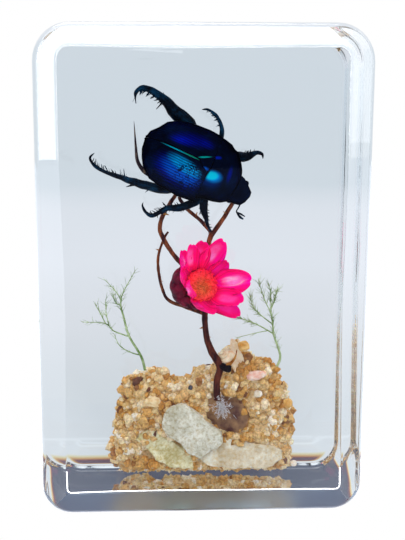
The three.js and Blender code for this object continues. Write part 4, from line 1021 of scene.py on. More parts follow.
# The disc's colours from its middle to its rim, and a painted glow for the light that shines through its
# florets.
FLORET_TONES = [(0.0, (0.55, 0.2, 0.06, 1)), (0.35, (0.85, 0.16, 0.06, 1)), (0.65, (1, 0.08, 0.09, 1)),
                (1.0, (1, 0.02, 0.1, 1))]
TONES_CENTRE = FLOWER_CENTRE + Vector((-0.5, -0.6, -0.6))
TONES_REACH = 4.6 * MM
FLORET_GLOW = 0.2
florets = bmesh.new()
flower_turn = Matrix((flower_right, flower_up, FLOWER_AXIS)).transposed().to_quaternion()
bmesh.ops.create_uvsphere(florets, u_segments=32, v_segments=16, radius=1, matrix=Matrix.LocRotScale(
    (FLOWER_CENTRE - FLOWER_AXIS * 1.3) * MM, flower_turn,
    Vector((DISC_RADIUS - 0.5, DISC_RADIUS - 0.5, 1.5)) * MM))
for i in range(FLORETS):
    out = (DISC_RADIUS - 0.4) * math.sqrt((i + 0.5) / FLORETS)
    degrees = i * GOLDEN_ANGLE + draw.uniform(-20, 20)
    bend = draw.uniform(-30, 75)
    rise = draw.uniform(0.8, 1.7) - 0.03 * out * out
    strand = [flower_point(-1.6 - 0.05 * out * out, out, degrees),
              flower_point(-0.3 + 0.4 * rise, out * 1.04, degrees + bend * 0.3),
              flower_point(rise * 0.8, out * 0.9, degrees + bend * 0.7),
              flower_point(rise, out * 0.66, degrees + bend)]
    thick = draw.uniform(0.17, 0.27) * MM
    sweep(florets, smooth_path(strand, 2), [thick, thick * 1.1, thick * 0.8, thick * 0.2], 5, 0.7)
bmesh.ops.recalc_face_normals(florets, faces=florets.faces)
floret_material, floret_tree, floret_coat = new_material("floret")
floret_place = add_node(floret_tree, "TexCoord")
floret_centre = add_node(floret_tree, "VectorMath", {1: TONES_CENTRE * MM + SPECIMEN_LIFT},
                         operation="DISTANCE")
floret_reach = add_node(floret_tree, "MapRange", {"From Max": TONES_REACH})
floret_tones = ramp(floret_tree, FLORET_TONES)
floret_marks = add_mottle(floret_tree, scale=1300, dark=(0.6, 0.5, 0.5, 1), light=(1.25, 1.3, 1.3, 1))
floret_shade = product(floret_tree)
wire(floret_tree,
     (floret_place, "Object", floret_centre, 0),
     (floret_centre, "Value", floret_reach, "Value"),
     (floret_reach, "Result", floret_tones, "Fac"),
     (floret_tones, "Color", floret_shade, "A"),
     (floret_marks, "Color", floret_shade, "B"),
     (floret_shade, "Result", floret_coat, "Base Color"),
     (floret_shade, "Result", floret_coat, "Emission Color"))
# The florets give off the painted glow in their own colour.
set_sockets(floret_coat, {"Roughness": 0.6, "Emission Strength": FLORET_GLOW})
finish_piece("flower_florets", florets, [floret_material], "floret", "flower_disc")

# The cup: a turned body with four rows of pointed bracts lying over each other on it.
CUP_PROFILE = [(-10.6, 0.05), (-10.2, 2.4), (-8.9, 4.3), (-6.8, 5.2), (-4.4, 5.4), (-2.7, 5), (-2.2, 3.2),
               (-2.2, 0.05)]
BRACT_ROWS = [(-9.5, 3.3, -5.1, 5.5, 8), (-8.1, 4.6, -3.8, 5.7, 9), (-6.6, 5.1, -2.3, 5.6, 9),
              (-4.8, 5.3, -0.9, 5.2, 10)]
cup = bmesh.new()
cup_rings = [cup.verts.new(flower_point(ahead, out, 0) * MM) for ahead, out in CUP_PROFILE]
cup_edges = [cup.edges.new(pair) for pair in zip(cup_rings, cup_rings[1:])]
bmesh.ops.spin(cup, geom=cup_rings + cup_edges, cent=FLOWER_CENTRE * MM, axis=FLOWER_AXIS,
               angle=math.tau, steps=36, use_merge=True)
bmesh.ops.remove_doubles(cup, verts=cup.verts, dist=0.01 * MM)
cup.loops.layers.uv.new("UVMap")
for row, (low_ahead, low_out, high_ahead, high_out, count) in enumerate(BRACT_ROWS):
    for i in range(count):
        degrees = (i + 0.5 * (row % 2)) * 360 / count
        base = flower_point(low_ahead, low_out, degrees)
        tip = flower_point(high_ahead, high_out, degrees)
        outward = (flower_point(0, 1, degrees) - FLOWER_CENTRE).normalized()
        bract = sheet_piece(
            base, tip, outward, 4.4,
            lambda u, v: (math.sin(math.pi * min(1, 0.3 + 0.7 * v)) ** 0.7 + 0.02, 1),
            lambda u, v: 0.35 - 0.9 * u * u + 0.25 * math.cos(u * 1.5) * math.sin(math.pi * v), 8, 8)
        thicken(bract, -0.25 * MM)
        join_into(cup, bract)
bmesh.ops.recalc_face_normals(cup, faces=cup.faces)
cup_material = mottled_material("calyx", 0.55, (0.3, 0.15 * MM), scale=420, dark=(0.045, 0.001, 0.014, 1),
                                light=(0.29, 0.003, 0.035, 1), low=0.35, high=0.68)
finish_piece("flower_cup", cup, [cup_material], "calyx", "flower_calyx")

# Each petal: its angle on the disc, tip, facing side, width, cup across, bow along, and how brightly it is
# painted lit, a painted shade that darkens the petals further back.
PETALS = {
    "petal_top": (72, (5.0, -4, 61.5), (0.1, -1, -0.1), 5.6, 1.2, 1.0, 1.0),
    "petal_back_top": (96, (0.2, -1.4, 60.8), (0.2, -1, -0.2), 5.2, 0.7, 0.6, 0.55),
    "petal_left_top": (122, (-2.6, -4.6, 60.3), (0.45, -1, -0.1), 4.2, 1.0, 0.7, 0.9),
    "petal_left_back": (145, (-4.7, -2.2, 58.6), (0.7, -1, 0), 3.8, 0.8, 0.5, 0.5),
    "petal_left": (176, (-5.0, -6.0, 54.4), (1, -0.15, 0), 4.2, 1.0, 0.6, 0.7),
    "petal_left_low": (208, (-2.5, -7.6, 50.6), (1, 0.1, 0.4), 4.4, 0.9, 0.5, 0.9),
    "petal_bottom": (246, (2.6, -6.4, 43.8), (0.4, -0.3, 1), 5.4, 1.2, 0.8, 0.3),
    "petal_lower": (300, (9.6, -1.6, 42.4), (0.2, -1, 0.5), 4.6, 0.7, 0.4, 0.4),
    "petal_lower_right": (322, (10.0, -4.4, 46.4), (0.1, -1, 0.6), 5.6, 0.8, 0.6, 0.6),
    "petal_right": (3, (12.1, -4.2, 52.1), (-0.1, -1, 0.05), 6.7, 1.3, 1.1, 1.0),
    "petal_behind_right": (38, (6.5, 1.4, 55.6), (0.2, -1, -0.3), 4.4, 0.6, 0.4, 0.15),
}
PETAL_THICK = 0.28
# Where a petal's pale hollow lies across and along it, and the darker lines beside its rim.
HOLLOW_ACROSS = [(0.2, BLACK), (0.4, WHITE), (0.58, WHITE), (0.76, BLACK)]
HOLLOW_ALONG = [(0.14, BLACK), (0.36, WHITE), (0.6, (0.6, 0.6, 0.6, 1)), (0.92, BLACK)]
RIM_LINES = [(0.0, (0.55, 0.3, 0.5, 1)), (0.06, WHITE), (0.11, (0.7, 0.4, 0.6, 1)), (0.16, WHITE),
             (0.84, WHITE), (0.89, (0.7, 0.4, 0.6, 1)), (0.94, WHITE), (1.0, (0.55, 0.3, 0.5, 1))]
# A painted glow for the light that shines through the thin petals from behind.
PETAL_GLOW = 0.25


def petal_outline(u, v):
    """Half width and reach of a petal: narrow at its foot, broad past the middle, with a nicked round tip."""
    half = 0.4 + 0.6 * math.sin(math.pi / 2 * min(1, v / 0.58)) - 0.12 * max(0, v - 0.6)
    nick = 0.05 * math.exp(-((u - 0.22) / 0.13) ** 2)
    return half, 1 - 0.52 * (1 - math.sqrt(1 - 0.96 * u * u)) - nick * v ** 4


def petal_material(name, painted_lighting):
    """Magenta petal skin: a paler hollow, crimson foot, darker lines along the rim and fine veins, darkened
    by painted shade on the petals further back.
    """
    material, tree, surface = new_material(name)
    # Painted shade: the petals further back take darker, duller copies of the same skin.
    depth = 0.66 + 0.34 * painted_lighting
    place = add_node(tree, "UVMap", uv_map="UVMap")
    parts = add_node(tree, "SeparateXYZ")
    along = ramp(tree, [
        (0.0, (0.7 * depth, 0.0, 0.06, 1)), (0.16, (depth, 0.0, 0.12, 1)),
        (0.34, (depth, 0.001, 0.22 * depth, 1)), (1.0, (depth, 0.0, 0.2 * depth, 1))])
    hollow_across = ramp(tree, HOLLOW_ACROSS, "EASE")
    hollow_along = ramp(tree, HOLLOW_ALONG, "EASE")
    hollow = add_node(tree, "Math", operation="MULTIPLY")
    clouds = add_mottle(tree, scale=420, dark=BLACK, light=WHITE, low=0.2, high=0.62)
    patchy = add_node(tree, "Math", operation="MULTIPLY")
    pale = add_node(tree, "Mix", {"B": (1, 0.28 * painted_lighting ** 2, 0.25 + 0.42 * painted_lighting, 1)},
                    data_type="RGBA")
    rim = ramp(tree, RIM_LINES)
    rimmed = product(tree)
    veins = add_node(tree, "TexWave", {"Scale": 5, "Distortion": 1.2}, bands_direction="X")
    wire(tree,
         (place, "UV", parts, "Vector"),
         (place, "UV", veins, "Vector"),
         (parts, "Y", along, "Fac"),
         (parts, "X", hollow_across, "Fac"),
         (parts, "Y", hollow_along, "Fac"),
         (parts, "X", rim, "Fac"),
         (hollow_across, "Color", hollow, 0),
         (hollow_along, "Color", hollow, 1),
         (hollow, "Value", patchy, 0),
         (clouds, "Height", patchy, 1),
         (patchy, "Value", pale, "Factor"),
         (along, "Color", pale, "A"),
         (pale, "Result", rimmed, "A"),
         (rim, "Color", rimmed, "B"),
         (rimmed, "Result", surface, "Base Color"),
         (rimmed, "Result", surface, "Emission Color"))
    # The petals give off the painted glow in their own colour.
    set_sockets(surface, {"Roughness": 0.55, "Emission Strength": PETAL_GLOW})
    add_inner_glow(surface, 0.5, (1.6, 0.3, 0.9))
    add_relief(tree, surface, veins, "Fac", 0.15, 0.08 * MM)
    return material


for name, (degrees, tip, facing, width, cupped, bow, painted_lighting) in PETALS.items():
    foot = flower_point(-1.4, DISC_RADIUS - 0.2, degrees)
    seed = degrees * 0.37

    def relief(u, v):
        rise = cupped * u * u * (0.5 + 0.5 * v) - bow * math.sin(math.pi * v)
        folds = 0.14 * math.cos(u * math.pi * 2.2) * math.sin(math.pi * min(1, v * 1.3))
        return rise + folds + 0.25 * noise.noise(Vector((u * 1.3, v * 2.2, seed)))

    petal = sheet_piece(foot, tip, facing, width, petal_outline, relief, 30, 22)
    thicken(petal, -PETAL_THICK * MM)
    finish_piece(name + "_skin", petal, [petal_material(name + "_pink", painted_lighting)], "petal", name)

# ---------------------------------------------------------------------------------------------------
# The beetle
# A flower chafer in metallic navy, 28 mm long, its back turned to the front face and its head to the lower
# right. It is made in its own frame in millimetres: +X to the head, +Y to its left, +Z out of its back.
# Its blue, cyan and jade sheen is painted into the shell's colour as soft patches of painted reflection.
# ---------------------------------------------------------------------------------------------------
BEETLE_CENTRE = Vector((-1, 2.17, 79.79))
BEETLE_HEADING = math.radians(26)
BEETLE_ROLL = math.radians(12)
forward = Vector((math.cos(BEETLE_HEADING), 0, -math.sin(BEETLE_HEADING)))
uphill = Vector((math.sin(BEETLE_HEADING), 0, math.cos(BEETLE_HEADING)))
back = uphill * math.sin(BEETLE_ROLL) + Vector((0, -math.cos(BEETLE_ROLL), 0))
beetle_turn = Matrix((forward, back.cross(forward), back)).transposed()
beetle_place = Matrix.LocRotScale(BEETLE_CENTRE * MM, beetle_turn.to_quaternion(), Vector((MM, MM, MM)))

# The outline of the wing cases seen from above, as (distance to the head, half width) on each side.
ELYTRA_LEFT = [(-13.6, 0), (-13.2, 1.8), (-11.8, 3.4), (-10.4, 5.6), (-8.6, 6.8), (-6, 7.7), (-3.8, 8.1),
               (-0.3, 8.4), (3.4, 8.2)]
ELYTRA_RIGHT = [(-13.6, 0), (-13.2, 2.8), (-12.4, 4.6), (-11.2, 6.5), (-8.6, 8.6), (-6, 9.1), (-3, 9.3),
                (-0.8, 9.5), (3.4, 9)]
ELYTRA_CREST = [(-13.6, 0), (-13, 1.5), (-11.5, 3), (-9, 4.3), (-5, 5), (0, 5.1), (3.4, 4.7)]
ELYTRA_WRAP = math.radians(112)
ELYTRA_REAR = -13.6
ELYTRA_LENGTH = 16.9
# The same for the collar plate in front of them.
COLLAR_FRONT = 11.7
COLLAR_LEFT = [(2.2, 8.2), (4.2, 8), (6, 7.6), (7, 6.9), (8.2, 6.6), (9.9, 4.6), (11.2, 2.6), (11.7, 1)]
COLLAR_RIGHT = [(2.2, 8.6), (5.3, 7.3), (7.5, 7), (9.4, 6.4), (10.8, 5.4), (11.5, 4), (11.7, 2)]
COLLAR_CREST = [(2.2, 4.7), (3.6, 5.0), (5.8, 4.9), (7.6, 4.4), (9.4, 3.4), (10.8, 2.3), (11.7, 1.4)]


def along_table(table, place):
    """The value of a (place, value) table at a place, running evenly from row to row."""
    for (low, first), (high, second) in zip(table, table[1:]):
        if place <= high:
            share = max(0.0, (place - low) / (high - low))
            return first + (second - first) * share
    return table[-1][1]


def beetle_coordinates(tree):
    """A node that puts out places in the beetle's own frame, in millimetres."""
    place = add_node(tree, "TexCoord")
    local = add_node(tree, "Mapping", {
        "Location": BEETLE_CENTRE * MM + SPECIMEN_LIFT, "Rotation": beetle_turn.to_euler(),
        "Scale": (MM, MM, MM)}, vector_type="TEXTURE")
    wire(tree, (place, "Object", local, "Vector"))
    return local


def sheen_group():
    """One soft patch of painted sheen in the beetle's own frame: a Mask that fades from its middle to its
    rim.
    """
    group, given, result = node_group(
        "painted_sheen_patch",
        {"Centre": ("Vector", (0, 0, 0)), "Size": ("Vector", (1, 1, 1)), "Turn": ("Float", 0),
         "Core": ("Float", 0)},
        {"Mask": "Float"})
    local = beetle_coordinates(group)
    offset = add_node(group, "VectorMath", operation="SUBTRACT")
    turned = add_node(group, "VectorRotate", rotation_type="Z_AXIS")
    sized = add_node(group, "VectorMath", operation="DIVIDE")
    reach = add_node(group, "VectorMath", operation="LENGTH")
    fade = add_node(group, "MapRange", {"From Max": 1, "To Min": 1, "To Max": 0},
                    interpolation_type="SMOOTHSTEP")
    wire(group,
         (local, "Vector", offset, 0),
         (given, "Centre", offset, 1),
         (offset, "Vector", turned, "Vector"),
         (given, "Turn", turned, "Angle"),
         (turned, "Vector", sized, 0),
         (given, "Size", sized, 1),
         (sized, "Vector", reach, 0),
         (reach, "Value", fade, "Value"),
         (given, "Core", fade, "From Min"),
         (fade, "Result", result, "Mask"))
    return group


sheen = sheen_group()


def add_sheen(tree, middle, size, turn, core):
    """Places a patch of painted sheen in a material, its turn in degrees."""
    return add_node(tree, "Group", {"Centre": middle, "Size": size, "Turn": math.radians(turn),
                                    "Core": core}, node_tree=sheen)


# The shell's own navy, and the colours of the painted sheen, the reflections of the light painted into the
# shell's colour.
NAVY_DEEP = (0.0006, 0.002, 0.012, 1)
NAVY_SOFT = (0.002, 0.008, 0.035, 1)
SHEEN_ROYAL = (0.0, 0.008, 0.34, 1)
SHEEN_AZURE = (0.0, 0.09, 0.58, 1)
SHEEN_CYAN = (0.0, 0.62, 0.85, 1)
SHEEN_JADE = (0.02, 0.7, 0.45, 1)
# How fine lines along a wing case dim its painted sheen, and how wrinkles near its front break it up.
LINE_TONES = [(0.0, (0.12, 0.12, 0.12, 1)), (0.3, (0.6, 0.6, 0.6, 1)), (0.6, WHITE), (1.0, WHITE)]
WRINKLE_TONES = [(0.0, WHITE), (0.4, WHITE), (0.44, BLACK), (0.5, BLACK), (0.54, WHITE), (1.0, WHITE)]
WRINKLE_ZONE = ((-0.2, -4.4, 4), (5.2, 4.4, 9), 0, 0.5)


def wing_lines(tree, surface):
    """The node whose Result dims the sheen by the fine lines and the wrinkles of a wing case."""
    local = beetle_coordinates(tree)
    lines = add_node(tree, "TexWave", {"Scale": 0.55, "Distortion": 1.5, "Detail": 3}, bands_direction="Y")
    line_tone = ramp(tree, LINE_TONES)
    wrinkles = add_node(tree, "TexNoise", {"Scale": 0.7, "Distortion": 1.2, "Detail": 2})
    wrinkle_tone = ramp(tree, WRINKLE_TONES)
    zone = add_sheen(tree, *WRINKLE_ZONE)
    wrinkled = add_node(tree, "Mix", {"A": WHITE}, data_type="RGBA")
    both = product(tree)
    wire(tree,
         (local, "Vector", lines, "Vector"),
         (local, "Vector", wrinkles, "Vector"),
         (lines, "Fac", line_tone, "Fac"),
         (wrinkles, "Fac", wrinkle_tone, "Fac"),
         (zone, "Mask", wrinkled, "Factor"),
         (wrinkle_tone, "Color", wrinkled, "B"),
         (line_tone, "Color", both, "A"),
         (wrinkled, "Result", both, "B"))
    add_relief(tree, surface, lines, "Fac", 0.3, 0.05 * MM)
    return both


def beetle_material(name, painted_sheens, striped=False):
    """Metallic navy chitin with painted sheen. Each patch is a painted reflection (middle, size, turn in
    degrees, core, colour, whether it is broken up) in the beetle's frame, and on a striped material the fine
    lines and wrinkles break it up."""
    material, tree, surface = new_material(name)
    ground = add_mottle(tree, scale=240, dark=NAVY_DEEP, light=NAVY_SOFT, low=0.3, high=0.7)
    colour = ground.outputs["Color"]
    broken = wing_lines(tree, surface) if striped else None
    # Each patch of painted sheen is laid over the shell's own navy.
    for middle, size, turn, core, sheen_colour, is_broken in painted_sheens:
        patch = add_sheen(tree, middle, size, turn, core)
        mask = patch.outputs["Mask"]
        if is_broken and striped:
            cut = add_node(tree, "Math", operation="MULTIPLY")
            wire(tree, (patch, "Mask", cut, 0), (broken, "Result", cut, 1))
            mask = cut.outputs["Value"]
        layer = add_node(tree, "Mix", {"B": sheen_colour}, data_type="RGBA")
        tree.links.new(mask, layer.inputs["Factor"])
        tree.links.new(colour, layer.inputs["A"])
        colour = layer.outputs["Result"]
    tree.links.new(colour, surface.inputs["Base Color"])
    set_sockets(surface, {"Metallic": 1, "Roughness": 0.3, "Specular Tint": (0.01, 0.03, 0.08, 1)})
    return material


def finish_beetle_piece(name, shape, material, slot, *nodes):
    """Puts a shape made in the beetle's frame in its place and finishes it."""
    bmesh.ops.transform(shape, matrix=beetle_place, verts=shape.verts)
    bmesh.ops.recalc_face_normals(shape, faces=shape.faces)
    return finish_piece(name, shape, [material], slot, *nodes)


belly = bmesh.new()
bmesh.ops.create_uvsphere(belly, u_segments=48, v_segments=28, radius=1,
                          matrix=Matrix.Rotation(math.pi / 2, 4, "Y"))
for vert in belly.verts:
    x = -0.9 + 12.1 * vert.co.x
    if x < 3:
        width = along_table(ELYTRA_LEFT if vert.co.y > 0 else ELYTRA_RIGHT, x) - 0.8
    else:
        width = along_table(COLLAR_LEFT if vert.co.y > 0 else COLLAR_RIGHT, x) - 0.8
    ring = max(1e-6, math.hypot(vert.co.y, vert.co.z))
    tall = (along_table(ELYTRA_CREST, x) - 0.8) if vert.co.z > 0 else 4.4
    shrink = math.sqrt(max(0, 1 - vert.co.x ** 2)) ** 0.5
    segment = 1 + 0.02 * math.sin(x * 2.6)
    vert.co = Vector((x, max(width, 0.5) * vert.co.y / ring * min(1, shrink * 1.2) * segment,
                      max(tall, 0.3) * vert.co.z / ring * min(1, shrink * 1.2) * segment))
belly_material = beetle_material("beetle_belly", [])
finish_beetle_piece("beetle_belly", belly, belly_material, "beetle_belly", "beetle_underbody")

# The painted sheen on the wing cases: soft patches of painted reflection in blue, cyan and jade.
WING_PAINTED_SHEEN = {
    "elytron_left": [
        ((-3.2, 3.4, 4.2), (6.8, 2.5, 6), -14, 0.1, (0.0, 0.004, 0.28, 1), True),
        ((-5.2, 2.3, 4.6), (3.8, 1.4, 6), -10, 0.15, (0.0, 0.008, 0.5, 1), True),
        ((0.2, 4.0, 4.2), (2.4, 1.4, 6), 0, 0.1, (0.0, 0.006, 0.4, 1), True),
        ((1, 0.95, 5), (2.1, 0.22, 7), -29, 0.4, (0.0, 0.5, 0.45, 1), False)],
    "elytron_right": [
        ((-3.4, -4.9, 4), (7.8, 4.2, 7), 10, 0.3, SHEEN_ROYAL, True),
        ((-2.6, -4.4, 4), (6.2, 3.2, 7), 10, 0.45, SHEEN_AZURE, True),
        ((-2.4, -2.9, 4.4), (5.6, 2.0, 7), 10, 0.4, (0.0, 0.36, 0.78, 1), True),
        ((-4.9, -0.26, 5), (5.4, 0.26, 7), 0, 0.4, SHEEN_CYAN, False),
        ((-2, -0.24, 5), (2.8, 0.24, 7), 0, 0.4, SHEEN_JADE, False)],
}
for name, side in (("elytron_left", 1), ("elytron_right", -1)):
    table = ELYTRA_LEFT if side > 0 else ELYTRA_RIGHT
    case = bmesh.new()
    bmesh.ops.create_grid(case, x_segments=96, y_segments=44, size=1)
    for vert in case.verts:
        along = (vert.co.x + 1) / 2
        wrap = (vert.co.y + 1) / 2 * ELYTRA_WRAP
        x = ELYTRA_REAR + ELYTRA_LENGTH * (1 - math.cos(along * math.pi / 2))
        wide = along_table(table, x)
        tall = along_table(ELYTRA_CREST, x)
        ridge = 0.03 * math.cos(wrap * 42) * min(1, tall / 3)
        shoulder = 0.35 * math.exp(-((x - 1.2) / 1.6) ** 2 - ((wrap - 0.95) / 0.3) ** 2)
        y = (wide + shoulder) * math.sin(wrap)
        z = (tall + ridge + shoulder if wrap < math.pi / 2 else tall * 0.6) * math.cos(wrap)
        suture_dip = 0.16 * math.exp(-(wrap / 0.03) ** 2)
        vert.co = Vector((x, side * (y + 0.06), z - suture_dip))
    bmesh.ops.recalc_face_normals(case, faces=case.faces)
    if case.faces[0].normal.z < 0:
        bmesh.ops.reverse_faces(case, faces=case.faces)
    bmesh.ops.solidify(case, geom=case.faces[:], thickness=0.45)
    finish_beetle_piece(name + "_case", case, beetle_material(name + "_case", WING_PAINTED_SHEEN[name], True),
                        "beetle_shell", name)

SCUTELLUM_OUTLINE = [(-0.3, 0.05), (0.8, 0.7), (1.8, 1.35), (3.3, 2.15), (3.3, 0), (3.3, -2.15), (1.8, -1.35),
                     (0.8, -0.6)]
plate = bmesh.new()
extrude_plate(plate, [plate.verts.new((x, y, 4.55)) for x, y in SCUTELLUM_OUTLINE], (0, 0, 0.62))
bevel(plate, [edge for edge in plate.edges if all(vert.co.z > 5 for vert in edge.verts)], 0.2, 3)
# The painted sheen on the shield: painted reflections in blue and blue-green.
plate_painted_sheen = [
    ((2.4, -1.5, 5.2), (1.1, 0.6, 5), 0, 0.1, SHEEN_AZURE, False),
    ((1.1, 0.95, 5.2), (2.3, 0.26, 5), -29, 0.4, (0.0, 0.5, 0.5, 1), False)]
finish_beetle_piece("beetle_shield", plate, beetle_material("beetle_shield", plate_painted_sheen),
                    "beetle_shell", "beetle_scutellum")

# The collar plate: a dome that narrows to the head, its hind edge bowed to the rear at the sides.
collar = bmesh.new()
bmesh.ops.create_uvsphere(collar, u_segments=72, v_segments=40, radius=1,
                          matrix=Matrix.Rotation(math.pi / 2, 4, "Y"))
for vert in collar.verts:
    ring = max(1e-6, math.hypot(vert.co.y, vert.co.z))
    side = vert.co.y / ring
    up = vert.co.z / ring
    share = (vert.co.x + 1) / 2
    rear = 3.4 - side ** 2
    x = rear + (COLLAR_FRONT - rear) * min(1, max(0, (share - 0.06) / 0.94))
    table = COLLAR_LEFT if side > 0 else COLLAR_RIGHT
    close = math.sqrt(max(0.0, share) / 0.06) if share < 0.06 else 1
    nose = math.sqrt(max(0.0, 1 - ((share - 0.9) / 0.1) ** 2)) if share > 0.9 else 1
    wide = along_table(table, x) * close * nose
    tall = (along_table(COLLAR_CREST, x) if up > 0 else 3.7) * close * nose
    vert.co = Vector((x, wide * side, tall * up))
# The painted sheen on the collar plate: painted reflections in blue and cyan.
collar_painted_sheen = [
    ((4.8, -3.4, 4.8), (3.4, 3, 8), 0, 0.1, (0.0, 0.02, 0.14, 1), False),
    ((4.8, -2.3, 4.8), (2.8, 1.8, 8), -14, 0.3, (0.0, 0.25, 0.8, 1), False),
    ((4.4, -2.3, 4.8), (2.0, 1.25, 8), -20, 0.5, SHEEN_CYAN, False),
    ((3.9, 2.2, 5), (1.2, 0.5, 8), -24, 0.3, (0.0, 0.02, 0.6, 1), False),
    ((8.2, 0, 4.4), (0.8, 2.6, 8), -10, 0.1, (0.0, 0.006, 0.2, 1), False)]
finish_beetle_piece("beetle_collar", collar, beetle_material("beetle_collar", collar_painted_sheen),
                    "beetle_shell", "beetle_pronotum")

# The head: a broad flat wedge with a squared front and an eye on each side, bent to the beetle's right.
HEAD_OUTLINE = [(-3, 3.4), (-0.8, 3.4), (0.6, 3.0), (1.7, 2.6), (2.7, 2.2), (3.2, 1.2), (3.3, -0.6),
                (3.0, -1.8), (1.9, -2.5), (0.8, -3.0), (-0.8, -3.5), (-3, -3.4)]
head = bmesh.new()
extrude_plate(head, [head.verts.new((x, y, -1.5)) for x, y in HEAD_OUTLINE], (0, 0, 3.1))
bevel(head, [edge for edge in head.edges if abs(edge.verts[0].co.z - edge.verts[1].co.z) < 1e-6], 0.95, 5)
for y in (2.9, -2.9):
    bmesh.ops.create_uvsphere(head, u_segments=16, v_segments=10, radius=0.75,
                              matrix=Matrix.Translation((0.2, y, 0.1)))
bmesh.ops.rotate(head, matrix=Matrix.Rotation(math.radians(-20), 3, "Z"), verts=head.verts)
bmesh.ops.translate(head, vec=(11.9, -2, -0.4), verts=head.verts)
finish_beetle_piece("beetle_face", head, belly_material, "beetle_shell", "beetle_head")

# ---------------------------------------------------------------------------------------------------
# Legs, feeler and folded wing tip
# Six jointed legs spread round the body, dark metallic, with teeth and spines on the shins and a curved
# claw at the end. Rings run along each leg and each spine is a thin tapering spike.
# ---------------------------------------------------------------------------------------------------
# Each leg: its points from the body to the claw, the radii along it, and its spines as (root, tip, radius).
LEGS = {
    "leg_hind_left": (
        [(-2.6, 7.6, 81.1), (-2.6, 6.4, 88.2), (-6.1, 5, 91.7), (-8.5, 3.8, 94.5), (-12.3, 3, 97),
         (-14.4, 3, 97.2), (-15.5, 3, 95.9), (-15.4, 3, 93.6)],
        [1.4, 1.95, 1.7, 1.15, 0.8, 0.62, 0.4, 0.08],
        [((-8.9, 3.6, 94.2), (-10.6, 3, 92.3), 0.28), ((-10.6, 3.4, 95.6), (-12, 3, 94.8), 0.3),
         ((-5.6, 5.2, 92), (-5.4, 4.6, 93.4), 0.35), ((-8.8, 3.8, 95), (-8.9, 3.6, 96.4), 0.35),
         ((-15.4, 3, 95.6), (-16.2, 2.6, 94), 0.2), ((-11.9, 3.1, 96.7), (-13.1, 3, 95.2), 0.3)]),
    "leg_hind_right": (
        [(-4.7, 7.2, 76.7), (-7.8, 4.6, 73.4), (-12.2, 2.6, 73.9), (-15.7, 1.6, 75), (-19.4, 1, 76.3),
         (-22.9, 1, 77.5), (-25.4, 1, 79.1), (-26.4, 1, 80.8), (-25.3, 1, 82)],
        [1.3, 1.55, 1.4, 1.2, 0.8, 0.66, 0.52, 0.34, 0.08],
        [((-18.2, 1.2, 76.4), (-18.4, 0.8, 78.3), 0.26), ((-16, 1.6, 74.4), (-17.9, 1.2, 73.9), 0.35),
         ((-22.2, 1, 77.6), (-22.9, 0.8, 79), 0.22), ((-20.8, 1, 77.1), (-21.5, 0.8, 78.3), 0.22),
         ((-12.4, 2.4, 73.3), (-13.4, 2.2, 72.4), 0.35)]),
    "leg_middle_right": (
        [(-1.1, 8, 74.9), (0.1, 6.2, 71.1), (-2.5, 5, 69.4), (-5.4, 4.4, 68.5), (-7.8, 4, 68.6),
         (-9.8, 4, 67.6), (-11.7, 4, 66.7), (-13.2, 4, 67.6), (-14, 4, 69.1), (-13.8, 4, 70.1)],
        [1.1, 1.15, 1.05, 0.95, 0.75, 0.6, 0.55, 0.4, 0.28, 0.07],
        [((-7.6, 4, 68.3), (-9.2, 3.7, 70), 0.3), ((-8.8, 4, 67.8), (-10.6, 3.7, 68.8), 0.28),
         ((-6.6, 4.2, 68.9), (-7.6, 3.9, 70), 0.28), ((-3.6, 4.6, 68.7), (-4.3, 4.3, 67.4), 0.32)]),
    "leg_front_right": (
        [(2.6, 5.9, 73.6), (1.1, 3.6, 70.8), (0.9, 3.4, 68.1), (1.4, 3.6, 66.2), (1.9, 3.8, 64.2),
         (2.8, 4, 62.6)],
        [1, 1.15, 1, 0.62, 0.5, 0.22],
        [((0.5, 3.5, 68.4), (-0.3, 3.2, 66.9), 0.3), ((2.4, 4, 63.2), (2, 3.9, 62.2), 0.16),
         ((2.6, 4, 62.9), (3.3, 3.9, 62.1), 0.16)]),
    "leg_middle_left": (
        [(1, 8, 79.3), (4.6, 6.8, 84.3), (5.3, 5.8, 87.4), (4.3, 5.2, 90.2), (3.1, 5, 91.5), (1.8, 5, 92.3),
         (0.4, 5, 92.3)],
        [0.9, 0.95, 0.66, 0.5, 0.5, 0.36, 0.07],
        [((4.7, 5.6, 88.6), (3.6, 5.2, 88.2), 0.25), ((4.3, 5.2, 89.9), (3.2, 4.9, 89.6), 0.22)]),
    "leg_front_left": (
        [(4.9, 7, 77.8), (8.8, 5.8, 80.8), (10.6, 4.8, 80.9), (12, 4.2, 81.2), (13.6, 4, 82), (15, 4, 81.6),
         (15.2, 4, 80.5)],
        [1, 1.4, 1.5, 1.1, 0.62, 0.4, 0.1],
        [((11, 4.6, 81.2), (11.4, 4.4, 82.4), 0.35), ((11.6, 4.4, 81.4), (12, 4.2, 82.2), 0.25)]),
}
# The combs of short spines on the shins: from and to as shares of the leg, side, count and length.
COMBS = {
    "leg_hind_left": [(0.4, 0.74, 1, 14, 1.2)],
    "leg_hind_right": [(0.45, 0.8, -1, 14, 1.1)],
    "leg_middle_right": [(0.28, 0.72, -1, 13, 1.1), (0.3, 0.6, 1, 6, 0.8)],
    "leg_middle_left": [(0.4, 0.8, 1, 9, 0.7)],
    "leg_front_right": [(0.3, 0.85, 1, 7, 0.7), (0.35, 0.8, -1, 5, 0.6)],
    "leg_front_left": [(0.35, 0.62, 1, 5, 0.9)],
}
leg_material = mottled_material("beetle_leg", 0.35, (0.3, 0.1 * MM), None, 0.7, scale=330,
                                dark=(0.0008, 0.003, 0.008, 1), light=(0.002, 0.05, 0.12, 1), low=0.45,
                                high=0.75)

